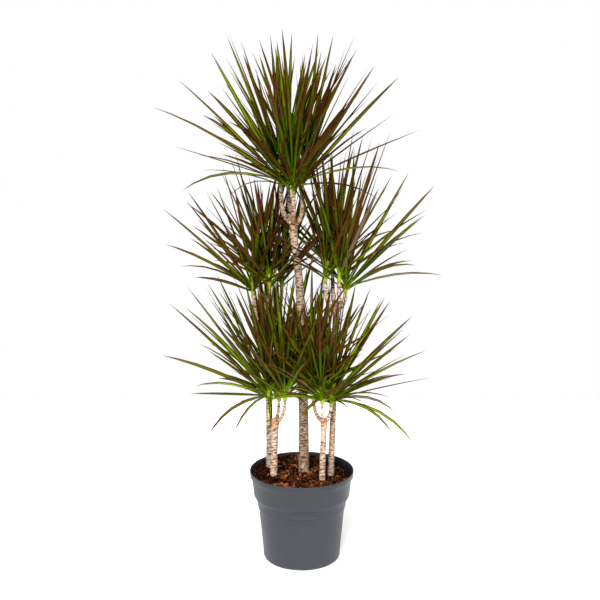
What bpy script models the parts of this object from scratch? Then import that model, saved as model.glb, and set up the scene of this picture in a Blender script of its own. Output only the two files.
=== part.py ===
"""Potted Madagascar dragon tree: five bare canes of three heights in a round nursery pot.

Each cane forks once into three or four short boughs, and each bough carries one head of sword leaves.
Lengths are in metres, +Z is up, and the origin is the centre of the pot's flat underside.
The plant is seen from -Y in the photograph, with +X to its right.
"""

import math

import bmesh
import bpy
import numpy as np
from mathutils import Matrix, Vector
from mathutils.bvhtree import BVHTree

# Pot
POT_HEIGHT = 0.276
RIM_RADIUS = 0.155
WALL = 0.0022
FLOOR_TOP = 0.0075
CORNER_RADIUS = 0.0125
POT_STEPS = 36
NOTCH_COUNT = 4
NOTCH_WIDTH = 0.039
NOTCH_HEIGHT = 0.004
NOTCH_INNER_RADIUS = 0.100
NOTCH_TURN = math.radians(-101.3)

# Soil
SOIL_TOP = 0.254
SOIL_EDGE_DROP = 0.006
SOIL_EDGE_WIDTH = 0.018

# Clear gap between pieces that touch
GAP = 0.0003

# Leaf rule: how a head's leaves turn, lean, droop and shorten from the youngest (age 0) to the oldest (age 1)
GOLDEN_TURN = math.radians(137.508)
LEAF_COUNT = 58
STEM_LENGTH = 0.062
STEM_RADIUS = 0.0074
STEM_BULGE_HEIGHT = 0.55
STEM_FOOT_SHARE = 0.85
STEM_TOP_SHARE = 0.75
ROOT_OFFSET = 0.0036
LOWEST_ROOT = 0.12
HIGHEST_ROOT = 0.92
AWAY_TILT = 0.03
LEAN_YOUNG = 6.0
LEAN_OLD = 62.0
LEAN_POWER = 1.05
LEAN_SPREAD = 8.0
HANG_SHARE = 0.04
HANG_LEAN = 18.0
HANG_SAG = 0.15
SAG_YOUNG = 0.01
SAG_OLD = 0.21
SAG_VARIES = 0.8
SAG_POWER = 1.7
SHORTEST = 0.70
BUD_LENGTH = 0.72
BUD_AGE = 0.2
OLD_SHORTER = 0.45

# Leaf blade
LEAF_WIDTH = 0.0195
ROOT_WIDTH_SHARE = 0.42
WIDTH_GAIN = 2.3
WIDTH_LOSS = 2.4
THICKNESS_SHARE = 1 / 92
MOST_ROLL = math.radians(38)
SPINE_STEPS = 20
STRAIGHT_SAG = 0.13
STRAIGHT_STATIONS = (0, 9)
BENT_STATIONS = (0, 7, 14)

# Space between heads
SPACE_MARGIN = 0.0006
NEAR_HEAD = 0.16
FLAT_ANGLE = math.radians(0.3)

# Colours, linear: base colour, roughness
FINISHES = {
    "pot": ((0.115, 0.122, 0.135), 0.55),
    "soil": ((0.032, 0.016, 0.011), 0.95),
    "bark": ((0.46, 0.33, 0.22), 0.8),
    "young_bark": ((0.42, 0.24, 0.11), 0.75),
    "leaf": ((0.070, 0.060, 0.018), 0.45),
}

# Each cane: foot (x, y), points it leans through, fork, radii at foot and fork, leaf length,
# the extra lean of its leaves in degrees, and the foot of each head that its boughs carry.
CANES = {
    "tall": {
        "foot": (0.0066, 0.040),
        "bends": [
            (0.005, 0.040, 0.463),
            (-0.004, 0.035, 0.776),
            (-0.012, 0.030, 0.890),
            (-0.023, 0.030, 0.974),
        ],
        "fork": (-0.0234, 0.030, 1.0094),
        "radii": (0.0156, 0.0106),
        "leaf": 0.440,
        "lean": 0.0,
        "heads": {
            "left": (-0.060, 0.030, 1.116),
            "back": (-0.039, 0.075, 1.103),
            "front": (-0.024, -0.010, 1.100),
            "right": (0.001, 0.030, 1.114),
        },
    },
    "mid_left": {
        "foot": (-0.0980, 0.067),
        "bends": [(-0.0985, 0.067, 0.458)],
        "fork": (-0.1021, 0.070, 0.7109),
        "radii": (0.0104, 0.0089),
        "leaf": 0.390,
        "lean": -3.0,
        "heads": {
            "left": (-0.143, 0.060, 0.795),
            "front": (-0.094, 0.030, 0.816),
            "right": (-0.060, 0.085, 0.802),
            "back": (-0.107, 0.115, 0.818),
        },
    },
    "mid_right": {
        "foot": (0.0875, 0.007),
        "bends": [(0.0940, 0.012, 0.481)],
        "fork": (0.1001, 0.025, 0.754),
        "radii": (0.0092, 0.0083),
        "leaf": 0.425,
        "lean": -7.0,
        "heads": {
            "left": (0.068, 0.000, 0.842),
            "back": (0.091, 0.075, 0.855),
            "middle": (0.108, 0.010, 0.839),
            "right": (0.128, 0.045, 0.801),
        },
    },
    "low_left": {
        "foot": (-0.0840, 0.004),
        "bends": [],
        "fork": (-0.0785, 0.004, 0.4215),
        "radii": (0.0101, 0.0096),
        "leaf": 0.435,
        "lean": -3.0,
        "heads": {
            "left": (-0.098, -0.005, 0.486),
            "middle": (-0.068, 0.035, 0.477),
            "right": (-0.049, -0.020, 0.497),
        },
    },
    "low_right": {
        "foot": (0.0605, -0.032),
        "bends": [],
        "fork": (0.0652, -0.030, 0.4326),
        "radii": (0.0086, 0.0084),
        "leaf": 0.385,
        "lean": 0.0,
        "heads": {
            "left": (0.034, -0.020, 0.506),
            "front": (0.059, -0.055, 0.495),
            "right": (0.086, -0.020, 0.478),
        },
    },
}
CANE_POINTS = 10
FOOT_FLARE = 1.10
FLARE_HEIGHT = 0.030
FORK_SWELL = 1.28
SWELL_HEIGHT = 0.022
CANE_RESOLUTION = 2
LIMB_RESOLUTION = 1
BOUGH_RADII = (0.0073, 0.0058)
BOUGH_STUB_SHARE = 0.26
BOUGH_SPREAD = 0.95
BOUGH_RISE = 0.33
BOUGH_LEAVE_PULL = 1.0
BOUGH_ARRIVE_PULL = 1.3
BOUGH_LINE_POINTS = 60
STRAIGHT_LEAD = 0.002
LOW_BOUGH_SHARE = 0.8
STUB_STRIDE = 7
STUB_THICKER = 1.08
BOUGH_STRIDE = 12
BOUGH_FIRST_BEND = 9
BOUGH_LAST_BEND = 8
UPRIGHT_FOOT = 0.012
KNOB_SIDES = 8
KNOB_RINGS = 5
KNOB_WIDTH_SHARE = 1.06
KNOB_HEIGHT_SHARE = 1.15

# Single leaves that stand out of their head: cane, head, turn and lean in degrees, sag, length
SINGLE_LEAVES = (
    ("tall", "left", 190, 54, 0.15, 0.41),
    ("tall", "left", 200, 75, 0.45, 0.30),
    ("tall", "right", 350, 71, 0.30, 0.28),
    ("tall", "right", 350, 41, 0.06, 0.395),
    ("tall", "back", 90, 10, 0.02, 0.435),
    ("tall", "back", 75, 52, 0.12, 0.40),
    ("tall", "back", 110, 68, 0.30, 0.32),
    ("tall", "front", 280, 60, 0.20, 0.36),
    ("mid_left", "left", 180, 46, 0.06, 0.35),
    ("mid_left", "left", 205, 57, 0.30, 0.24),
    ("mid_left", "front", 345, 39, 0.10, 0.24),
    ("mid_left", "back", 100, 50, 0.10, 0.37),
    ("mid_left", "back", 130, 62, 0.25, 0.30),
    ("mid_right", "right", 340, 69, 0.25, 0.29),
    ("mid_right", "right", 0, 39, 0.05, 0.39),
    ("mid_right", "middle", 340, 18, 0.03, 0.44),
    ("mid_right", "back", 80, 48, 0.08, 0.38),
    ("mid_right", "back", 45, 63, 0.25, 0.30),
    ("mid_right", "left", 265, 60, 0.20, 0.30),
    ("low_left", "left", 190, 61, 0.12, 0.335),
    ("low_left", "left", 195, 97, 0.80, 0.215),
    ("low_left", "left", 235, 90, 0.80, 0.18),
    ("low_left", "middle", 100, 62, 0.20, 0.34),
    ("low_left", "middle", 75, 75, 0.50, 0.26),
    ("low_left", "right", 280, 60, 0.20, 0.32),
    ("low_right", "right", 0, 57, 0.12, 0.31),
    ("low_right", "right", 350, 93, 0.70, 0.28),
    ("low_right", "right", 335, 86, 0.70, 0.215),
    ("low_right", "front", 280, 62, 0.20, 0.30),
)
SINGLE_ROOT = 0.32
SEEDS = {"tall": 288, "mid_left": 131, "mid_right": 94, "low_left": 394, "low_right": 71}

UP = np.array([0.0, 0.0, 1.0])


def clear_scene():
    """Remove the startup objects."""
    for old in list(bpy.data.objects):
        bpy.data.objects.remove(old, do_unlink=True)


def make_collection(name):
    """A new collection under the scene's own."""
    collection = bpy.data.collections.new(name)
    bpy.context.scene.collection.children.link(collection)
    return collection


def make_materials():
    """One Principled material for each finish."""
    made = {}
    for name, (colour, roughness) in FINISHES.items():
        material = bpy.data.materials.new(name)
        material.use_nodes = True
        shader = material.node_tree.nodes["Principled BSDF"]
        shader.inputs["Base Color"].default_value = (*colour, 1.0)
        shader.inputs["Roughness"].default_value = roughness
        shader.inputs["Metallic"].default_value = 0.0
        made[name] = material
    return made


def add_object(name, mesh, collection, material=None):
    """An object for a mesh, linked to a collection."""
    obj = bpy.data.objects.new(name, mesh)
    collection.objects.link(obj)
    if material is not None:
        obj.data.materials.append(material)
    return obj


def mesh_from(name, points, faces):
    """A mesh from arrays of points and faces, its faces turned outwards."""
    mesh = bpy.data.meshes.new(name)
    mesh.from_pydata([tuple(p) for p in points], [], faces)
    work = bmesh.new()
    work.from_mesh(mesh)
    bmesh.ops.recalc_face_normals(work, faces=work.faces)
    work.to_mesh(mesh)
    work.free()
    return mesh


def apply_modifiers(obj, collection):
    """Replace an object by one that holds its evaluated mesh, with the same name and material."""
    graph = bpy.context.evaluated_depsgraph_get()
    mesh = bpy.data.meshes.new_from_object(obj.evaluated_get(graph), depsgraph=graph)
    mesh.transform(obj.matrix_world)
    name = obj.name
    old_mesh = obj.data
    bpy.data.objects.remove(obj, do_unlink=True)
    if isinstance(old_mesh, bpy.types.Mesh) and old_mesh.users == 0:
        bpy.data.meshes.remove(old_mesh)
    mesh.name = name
    made = bpy.data.objects.new(name, mesh)
    collection.objects.link(made)
    return made


def turned(name, profile, steps, collection, material):
    """A body turned about the Z axis from a profile of (radius, height) points."""
    mesh = bpy.data.meshes.new(name)
    points = [(radius, 0.0, height) for radius, height in profile]
    edges = [(i, i + 1) for i in range(len(points) - 1)]
    mesh.from_pydata(points, edges, [])
    obj = add_object(name, mesh, collection, material)
    screw = obj.modifiers.new("turn", "SCREW")
    screw.axis = "Z"
    screw.steps = steps
    screw.render_steps = steps
    screw.use_merge_vertices = True
    screw.merge_threshold = 0.00001
    return obj


def arc(centre, radius, start, end, count):
    """Points on an arc in the (radius, height) plane, angles in degrees."""
    angles = np.radians(np.linspace(start, end, count))
    return [(centre[0] + radius * math.cos(a), centre[1] + radius * math.sin(a)) for a in angles]


def outer_profile():
    """The pot's outside, from the rim down: rolled lip, tapered band, two stepped rings, tapered wall."""
    lip = arc((RIM_RADIUS - 0.0016, POT_HEIGHT - 0.0016), 0.0016, 90, 0, 3)
    band = [(0.1535, 0.2570), (0.1504, 0.2550), (0.1477, 0.2410), (0.1443, 0.2090), (0.1422, 0.1975)]
    shoulder = [(0.1369, 0.1900), (0.1345, 0.1835), (0.1329, 0.1790), (0.1312, 0.1680), (0.1290, 0.1645)]
    wall = [(0.1268, 0.1390), (0.1212, 0.0810), (0.1168, 0.0320)]
    corner = arc((0.1030, CORNER_RADIUS), CORNER_RADIUS, 0, -90, 4)
    return lip + band + shoulder + wall + corner + [(0.0, 0.0)]


def inner_radius(height):
    """The inside radius of the pot at a height: the outside, less the wall."""
    heights = [FLOOR_TOP, 0.0320, 0.0810, 0.1390, 0.1790, 0.1975, 0.2550, POT_HEIGHT]
    outside = [0.1115, 0.1168, 0.1212, 0.1268, 0.1329, 0.1410, 0.1490, 0.1528]
    return float(np.interp(height, heights, outside)) - WALL


def inner_profile():
    """The pot's inside, from the floor's centre up to the rim."""
    floor_edge = (0.1010, FLOOR_TOP)
    heights = (0.0180, 0.0810, 0.1790, 0.1975, 0.2550)
    top = (inner_radius(POT_HEIGHT), POT_HEIGHT)
    return [(0.0, FLOOR_TOP), floor_edge] + [(inner_radius(z), z) for z in heights] + [top]


def make_pot(collection, cutters, material):
    """A thin-walled round pot with drainage notches across its bottom edge."""
    pot = turned("pot", inner_profile() + outer_profile(), POT_STEPS, collection, material)
    for i in range(NOTCH_COUNT):
        turn = NOTCH_TURN + i * 2 * math.pi / NOTCH_COUNT
        length = RIM_RADIUS - NOTCH_INNER_RADIUS
        bpy.ops.mesh.primitive_cube_add(size=1.0)
        cutter = bpy.context.active_object
        cutter.name = f"notch_{i}"
        cutter.data.transform(Matrix.Diagonal((length, NOTCH_WIDTH, 2 * NOTCH_HEIGHT, 1.0)))
        cutter.location = (
            (NOTCH_INNER_RADIUS + length / 2) * math.cos(turn),
            (NOTCH_INNER_RADIUS + length / 2) * math.sin(turn),
            0.0,
        )
        cutter.rotation_euler = (0.0, 0.0, turn)
        cutter.hide_render = True
        cutter.display_type = "WIRE"
        for owner in list(cutter.users_collection):
            owner.objects.unlink(cutter)
        cutters.objects.link(cutter)
        cut = pot.modifiers.new(f"notch_{i}", "BOOLEAN")
        cut.operation = "DIFFERENCE"
        cut.object = cutter
        cut.solver = "EXACT"
    return pot


def make_soil(collection, material):
    """The soil that fills the pot: level in the middle, sunk a little along the wall."""
    edge = inner_radius(SOIL_TOP - SOIL_EDGE_DROP) - 2 * GAP
    heights = (0.1975, 0.1790, 0.0810, 0.0180)
    side = [(inner_radius(z) - 2 * GAP, z) for z in heights]
    profile = [(0.0, SOIL_TOP), (edge - SOIL_EDGE_WIDTH, SOIL_TOP), (edge, SOIL_TOP - SOIL_EDGE_DROP)]
    profile += side + [(0.1004, FLOOR_TOP + GAP), (0.0, FLOOR_TOP + GAP)]
    return turned("soil", profile, POT_STEPS, collection, material)


def tube(name, path, radii, resolution, collection, material=None):
    """A closed tube that follows a path, with a radius at each point, as a mesh with welded caps."""
    curve = bpy.data.curves.new(name, "CURVE")
    curve.dimensions = "3D"
    curve.bevel_depth = 1.0
    curve.bevel_resolution = resolution
    curve.use_fill_caps = True
    spline = curve.splines.new("POLY")
    spline.points.add(len(path) - 1)
    for point, place, radius in zip(spline.points, path, radii):
        point.co = (*place, 1.0)
        point.radius = radius
    holder = bpy.data.objects.new(name + "_curve", curve)
    collection.objects.link(holder)
    graph = bpy.context.evaluated_depsgraph_get()
    mesh = bpy.data.meshes.new_from_object(holder.evaluated_get(graph), depsgraph=graph)
    work = bmesh.new()
    work.from_mesh(mesh)
    bmesh.ops.remove_doubles(work, verts=work.verts, dist=0.00001)
    bmesh.ops.recalc_face_normals(work, faces=work.faces)
    work.to_mesh(mesh)
    work.free()
    place = holder.matrix_world.copy()
    bpy.data.objects.remove(holder, do_unlink=True)
    bpy.data.curves.remove(curve)
    obj = bpy.data.objects.new(name, mesh)
    obj.matrix_world = place
    collection.objects.link(obj)
    obj.data.materials.clear()
    if material is not None:
        obj.data.materials.append(material)
    return obj


def smooth_path(points, count):
    """A Catmull-Rom line through points, read at evenly spaced parameters."""
    p = np.array(points, float)
    ends = np.vstack([2 * p[0] - p[1], p, 2 * p[-1] - p[-2]])
    out = []
    for u in np.linspace(0, len(p) - 1, count):
        i = min(int(u), len(p) - 2)
        f = u - i
        a, b, c, d = ends[i : i + 4]
        square = 2 * a - 5 * b + 4 * c - d
        cube = 3 * b - a - 3 * c + d
        out.append(0.5 * (2 * b + (c - a) * f + square * f**2 + cube * f**3))
    return np.array(out)


def unit(v):
    """The vector scaled to length one."""
    return v / np.linalg.norm(v)


def head_axis(cane, head):
    """The way a head's stem points: up, tilted a little away from the fork."""
    away = np.array(cane["heads"][head]) - np.array(cane["fork"])
    away[2] = 0.0
    return unit(unit(away) * AWAY_TILT + UP)


def bough_line(cane, head):
    """A bough's middle line: out of the fork, sideways first, then turning up into its head."""
    start = np.array(cane["fork"])
    end = np.array(cane["heads"][head])
    away = (end - start) * (1, 1, 0)
    span = np.linalg.norm(end - start)
    leave = unit(unit(away) * BOUGH_SPREAD + UP * BOUGH_RISE) * span * BOUGH_LEAVE_PULL
    arrive = head_axis(cane, head) * span * BOUGH_ARRIVE_PULL
    t = np.linspace(0, 1, BOUGH_LINE_POINTS)[:, None]
    h00 = 2 * t**3 - 3 * t**2 + 1
    h10 = t**3 - 2 * t**2 + t
    h01 = -2 * t**3 + 3 * t**2
    h11 = t**3 - t**2
    return h00 * start + h10 * leave + h01 * end + h11 * arrive


def cane_line(cane):
    """A cane's middle line, upright where it meets the soil."""
    foot = np.array([*cane["foot"], SOIL_TOP + GAP])
    lift = foot + UP * UPRIGHT_FOOT
    return np.vstack([foot, smooth_path([lift, *cane["bends"], cane["fork"]], CANE_POINTS)])


def cane_radii(cane, line):
    """A cane's radius along its line: flared at the foot, tapered, and swollen under the fork."""
    low, high = cane["radii"]
    height = line[:, 2] - line[0, 2]
    share = height / height[-1]
    radius = low + (high - low) * share
    flare = (FOOT_FLARE - 1) * np.exp(-height / FLARE_HEIGHT)
    swell = (FORK_SWELL - 1) * np.exp(-(height[-1] - height) / SWELL_HEIGHT)
    return radius * (1 + flare + swell)


def join_all(base, collection_of_others, solver, home):
    """Fuse a base object with every object of a collection by one union, then remove those objects."""
    union = base.modifiers.new("join", "BOOLEAN")
    union.operation = "UNION"
    union.operand_type = "COLLECTION"
    union.collection = collection_of_others
    union.solver = solver
    material = base.data.materials[0]
    made = apply_modifiers(base, home)
    for other in list(collection_of_others.objects):
        mesh = other.data
        bpy.data.objects.remove(other, do_unlink=True)
        bpy.data.meshes.remove(mesh)
    keep_one_body(made.data)
    made.data.materials.clear()
    made.data.materials.append(material)
    return made


def shells(work):
    """A mesh's faces in groups that hang together by edges between two faces, the largest first."""
    groups = []
    left = set(work.faces)
    while left:
        stack = [left.pop()]
        group = []
        while stack:
            face = stack.pop()
            group.append(face)
            whole = [edge for edge in face.edges if len(edge.link_faces) == 2]
            near = {f for edge in whole for f in edge.link_faces} & left
            left -= near
            stack.extend(near)
        groups.append(group)
    return sorted(groups, key=len, reverse=True)


def keep_one_body(mesh):
    """Keep only the largest shell and merge its flat faces: a scrap is dropped and a sealed hollow filled."""
    work = bmesh.new()
    work.from_mesh(mesh)
    spare = [face for group in shells(work)[1:] for face in group]
    bmesh.ops.delete(work, geom=spare, context="FACES")
    loose = [v for v in work.verts if not v.link_faces]
    bmesh.ops.delete(work, geom=loose, context="VERTS")
    bmesh.ops.dissolve_limit(work, angle_limit=FLAT_ANGLE, verts=work.verts, edges=work.edges)
    bmesh.ops.triangulate(work, faces=work.faces)
    for face in work.faces:
        face.material_index = 0
    work.to_mesh(mesh)
    work.free()


def make_cane(name, cane, collection, pieces, materials):
    """One cane with its fork: the tapering cane, a swollen knob and a short stub for each bough."""
    line = cane_line(cane)
    radii = cane_radii(cane, line)
    body = tube(f"cane_{name}", line, radii, CANE_RESOLUTION, collection, materials["bark"])
    knob = bmesh.new()
    bmesh.ops.create_uvsphere(knob, u_segments=KNOB_SIDES, v_segments=KNOB_RINGS, radius=1.0)
    width = cane["radii"][1] * FORK_SWELL * KNOB_WIDTH_SHARE
    size = Matrix.Diagonal((width, width, width * KNOB_HEIGHT_SHARE, 1.0))
    knob.transform(Matrix.Translation(Vector(line[-1])) @ size)
    knob_mesh = bpy.data.meshes.new("knob")
    knob.to_mesh(knob_mesh)
    knob.free()
    add_object("knob", knob_mesh, pieces)
    boughs = []
    for head in cane["heads"]:
        full = bough_line(cane, head)
        cut = int(BOUGH_STUB_SHARE * (len(full) - 1))
        lead = unit(full[cut + 1] - full[cut]) * STRAIGHT_LEAD
        stub = np.vstack([full[:cut:STUB_STRIDE], full[cut], full[cut] + lead])
        thick = BOUGH_RADII[0] * (LOW_BOUGH_SHARE if name.startswith("low") else 1.0)
        tube("stub", stub, [thick * STUB_THICKER] * (len(stub) - 1) + [thick], LIMB_RESOLUTION, pieces)
        boughs.append(make_bough(name, head, full, cut, lead, thick, collection, materials))
    return join_all(body, pieces, "EXACT", collection), boughs


def make_bough(name, head, full, cut, lead, thick, collection, materials):
    """One bough: a tapering limb from its stub's end to the foot of its head."""
    tangent = unit(lead)
    begin = full[cut] + lead + tangent * GAP
    end = len(full) - 1
    axis = unit(full[end] - full[end - 1])
    tip = full[end] - axis * GAP
    inner = full[cut + BOUGH_FIRST_BEND : end - BOUGH_LAST_BEND : BOUGH_STRIDE]
    path = np.vstack([begin, begin + tangent * STRAIGHT_LEAD, inner, tip - axis * STRAIGHT_LEAD, tip])
    radii = np.linspace(thick, BOUGH_RADII[1] * thick / BOUGH_RADII[0], len(path))
    return tube(f"bough_{name}_{head}", path, radii, LIMB_RESOLUTION, collection, materials["young_bark"])


def leaf_line(foot, begin, sag, length):
    """The middle lines of leaves: from each foot along its first direction, sagging more towards the tip."""
    u = (np.arange(SPINE_STEPS) + 0.5) / SPINE_STEPS
    way = begin[:, None] - 2 * sag[:, None, None] * (u**SAG_POWER)[None, :, None] * UP
    way = way / np.linalg.norm(way, axis=2)[..., None]
    steps = np.cumsum(way * (length / SPINE_STEPS)[:, None, None], 1)
    return np.concatenate([foot[:, None], foot[:, None] + steps], 1)


def rule_leaves(cane, head, seed):
    """A head's leaves by the rule, youngest first: (line, side, sag, roll) for each.

    Leaf i stands a golden turn on from leaf i - 1. With age it leans further from the stem, sags more and is
    shorter, and the oldest few hang.
    """
    rng = np.random.default_rng(seed)
    turn = rng.uniform(0, 2 * math.pi) + GOLDEN_TURN * np.arange(LEAF_COUNT)
    chance = rng.uniform(-1, 1, (LEAF_COUNT, 4))
    age = (np.arange(LEAF_COUNT) + 0.5) / LEAF_COUNT
    axis = head_axis(cane, head)
    first = unit(np.cross((0.0, 1.0, 0.0), axis))
    second = np.cross(axis, first)
    out = np.outer(np.cos(turn), first) + np.outer(np.sin(turn), second)
    grown = np.minimum(1, age / (1 - HANG_SHARE))
    hang = np.maximum(0, (age - (1 - HANG_SHARE)) / HANG_SHARE)
    old = LEAN_OLD + cane["lean"]
    lean = LEAN_YOUNG + (old - LEAN_YOUNG) * grown**LEAN_POWER + hang * HANG_LEAN + chance[:, 0] * LEAN_SPREAD
    lean = np.radians(lean)[:, None]
    sag = (SAG_YOUNG + (SAG_OLD - SAG_YOUNG) * grown**2 + hang * HANG_SAG) * (1 + SAG_VARIES * chance[:, 1])
    length = cane["leaf"] * (SHORTEST + (1 - SHORTEST) * (0.5 + 0.5 * chance[:, 2]))
    unfolding = BUD_LENGTH + (1 - BUD_LENGTH) * np.minimum(1, age / BUD_AGE)
    length = length * unfolding * (1 - OLD_SHORTER * age**2)
    height = STEM_LENGTH * (LOWEST_ROOT + (HIGHEST_ROOT - LOWEST_ROOT) * (1 - age))
    foot = np.array(cane["heads"][head]) + np.outer(height, axis) + out * ROOT_OFFSET
    begin = np.cos(lean) * axis + np.sin(lean) * out
    lines = leaf_line(foot, begin, sag, length)
    return list(zip(lines, np.cross(axis, out), sag, chance[:, 3]))


def single_leaves(name, head):
    """The leaves that stand out of a head by themselves: (line, side, sag, roll) for each."""
    made = []
    for cane_name, head_name, turn, lean, sag, length in SINGLE_LEAVES:
        if (cane_name, head_name) != (name, head):
            continue
        cane = CANES[name]
        out = np.array([math.cos(math.radians(turn)), math.sin(math.radians(turn)), 0.0])
        begin = math.cos(math.radians(lean)) * UP + math.sin(math.radians(lean)) * out
        foot = np.array(cane["heads"][head]) + UP * STEM_LENGTH * SINGLE_ROOT + out * ROOT_OFFSET
        line = leaf_line(foot[None], begin[None], np.array([sag]), np.array([length]))[0]
        made.append((line, np.cross(UP, out), sag, 0.0))
    return made


def leaf_solid(line, side, sag, roll, spare=0.0):
    """A sword leaf as a three-sided blade: flat above, keeled below, widest near its middle, pointed."""
    stations = BENT_STATIONS if sag > STRAIGHT_SAG else STRAIGHT_STATIONS
    length = np.linalg.norm(np.diff(line, axis=0), axis=1).sum()
    thick = length * THICKNESS_SHARE + 2 * spare
    points = []
    for k in stations:
        tangent = unit(line[k + 1] - line[k])
        across = unit(side - tangent * (side @ tangent))
        below = np.cross(across, tangent)
        wide = across * math.cos(roll * MOST_ROLL) + below * math.sin(roll * MOST_ROLL)
        share = k / SPINE_STEPS
        half = 0.5 * LEAF_WIDTH * (ROOT_WIDTH_SHARE + WIDTH_GAIN * share - WIDTH_LOSS * share**2) + spare
        points += [line[k] + wide * half, line[k] - wide * half, line[k] + np.cross(wide, tangent) * thick]
    points.append(line[-1] + unit(line[-1] - line[-2]) * spare)
    faces = [(0, 1, 2)]
    for ring in range(len(stations) - 1):
        for corner in range(3):
            a = 3 * ring + corner
            b = 3 * ring + (corner + 1) % 3
            faces.append((a, b, b + 3, a + 3))
    last = 3 * (len(stations) - 1)
    faces += [(last + corner, last + (corner + 1) % 3, last + 3) for corner in range(3)]
    return np.array(points), faces


def space_planes(cane, head):
    """Upright planes half-way to each head near this one: rows of (normal, distance along it)."""
    here = np.array(cane["heads"][head])
    planes = []
    for other in CANES.values():
        for place in other["heads"].values():
            there = np.array(place)
            level = (there - here) * (1, 1, 0)
            if 0 < np.linalg.norm(level) and np.linalg.norm(there - here) < NEAR_HEAD:
                planes.append((*unit(level), unit(level) @ (here + there) / 2))
    return np.array(planes)


def tree_of(mesh):
    """A search tree of a mesh's faces."""
    return BVHTree.FromPolygons([v.co[:] for v in mesh.vertices], [p.vertices[:] for p in mesh.polygons])


def make_stem(name, cane, head, collection, material):
    """The short stem that a head's leaves stand on, 0.3 mm clear of its bough's tip."""
    axis = head_axis(cane, head)
    foot = np.array(cane["heads"][head])
    path = [foot, foot + axis * STEM_LENGTH * STEM_BULGE_HEIGHT, foot + axis * STEM_LENGTH]
    radii = (STEM_RADIUS * STEM_FOOT_SHARE, STEM_RADIUS, STEM_RADIUS * STEM_TOP_SHARE)
    return tube(f"leaves_{name}_{head}", path, radii, LIMB_RESOLUTION, collection, material)


def make_heads(limbs, collection, pieces, material):
    """The heads of foliage: leaves are set youngest first on all heads in turn."""
    heads = []
    for name, cane in CANES.items():
        for head in cane["heads"]:
            stem = make_stem(name, cane, head, collection, material)
            single = single_leaves(name, head)
            by_rule = rule_leaves(cane, head, SEEDS[name] + len(heads))
            heads.append(
                {
                    "stem": stem,
                    "trees": [tree_of(stem.data)],
                    "leaves": [],
                    "candidates": single + by_rule,
                    "planes": space_planes(cane, head),
                }
            )
    for turn in range(max(len(head["candidates"]) for head in heads)):
        for this in heads:
            if turn < len(this["candidates"]):
                try_leaf(this, this["candidates"][turn], heads, limbs)
    for this in heads:
        for i, (points, faces) in enumerate(this["leaves"]):
            add_object(f"leaf_{i}", mesh_from("leaf", points, faces), pieces)
        join_all(this["stem"], pieces, "EXACT", collection)


def try_leaf(this, leaf, heads, limbs):
    """Give a head one more leaf, unless it would leave the head's space or touch a limb or another head."""
    points, faces = leaf_solid(*leaf, spare=2 * GAP)
    planes = this["planes"]
    if (points @ planes[:, :3].T - planes[:, 3]).max() > -SPACE_MARGIN:
        return
    probe = BVHTree.FromPolygons([tuple(p) for p in points], faces)
    others = [tree for head in heads if head is not this for tree in head["trees"]]
    if any(probe.overlap(tree) for tree in limbs + others):
        return
    this["trees"].append(probe)
    this["leaves"].append(leaf_solid(*leaf))


def main():
    """Build the pot, soil, canes and boughs, then the heads of leaves that stand on them."""
    clear_scene()
    home = make_collection("potted_dragon_tree")
    cutters = make_collection("cutters")
    pieces = make_collection("pieces_to_join")
    materials = make_materials()
    make_pot(home, cutters, materials["pot"])
    make_soil(home, materials["soil"])
    limbs = []
    for name, cane in CANES.items():
        body, boughs = make_cane(name, cane, home, pieces, materials)
        limbs += [tree_of(obj.data) for obj in (body, *boughs)]
    make_heads(limbs, home, pieces, materials["leaf"])
    bpy.data.collections.remove(pieces)


main()
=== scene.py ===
"""Potted Madagascar dragon tree: five bare canes of three heights in a round slate-grey nursery pot.

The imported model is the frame. Every solid is replaced by a finer piece that grows from the same sizes:
turned pot, crumbly soil, canes and boughs with leaf-scarred bark, and heads of sword leaves set by the
same rule. Lengths are in metres, +Z is up and the photograph is taken from -Y.
"""

import math

import bpy
import numpy as np
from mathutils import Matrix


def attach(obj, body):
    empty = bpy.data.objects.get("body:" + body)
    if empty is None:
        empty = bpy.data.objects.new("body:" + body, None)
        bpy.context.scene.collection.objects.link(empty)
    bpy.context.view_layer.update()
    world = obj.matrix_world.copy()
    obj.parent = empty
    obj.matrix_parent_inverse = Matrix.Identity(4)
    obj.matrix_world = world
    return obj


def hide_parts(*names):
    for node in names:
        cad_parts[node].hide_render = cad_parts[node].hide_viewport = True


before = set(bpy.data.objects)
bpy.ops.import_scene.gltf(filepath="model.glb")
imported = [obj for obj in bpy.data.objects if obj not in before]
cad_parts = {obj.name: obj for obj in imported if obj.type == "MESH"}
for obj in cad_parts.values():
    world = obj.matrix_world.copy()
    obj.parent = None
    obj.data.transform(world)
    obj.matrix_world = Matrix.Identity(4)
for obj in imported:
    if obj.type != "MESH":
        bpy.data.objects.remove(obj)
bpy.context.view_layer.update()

# Camera: its distance from the pot's axis, height, tilt down, turn to the left, its lens and sensor in
# millimetres, and how far it sees
CAMERA_DISTANCE = 3.0
CAMERA_HEIGHT = 1.4002
CAMERA_TILT = math.radians(11.462)
CAMERA_TURN = math.radians(0.0976)
CAMERA_LENS = 63.42
SENSOR_WIDTH = 36.0
CAMERA_REACH = 100.0

# Studio: how strongly the white surround lights and the floor glows, half the floor's width, its grey and
# roughness, and each soft light's name, turn from the camera, height in degrees, strength and softness in
# degrees
SURROUND_LIGHT = 0.13
FLOOR_GLOW = 0.40
FLOOR_HALF_WIDTH = 1.6
FLOOR_GREY = 0.94
FLOOR_ROUGHNESS = 0.7
SUNS = (
    ("key", -15.0, 38.0, 4.2, 20.0),
    ("top", 10.0, 74.0, 2.3, 36.0),
    ("fill", 38.0, 22.0, 1.1, 50.0),
)

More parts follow.
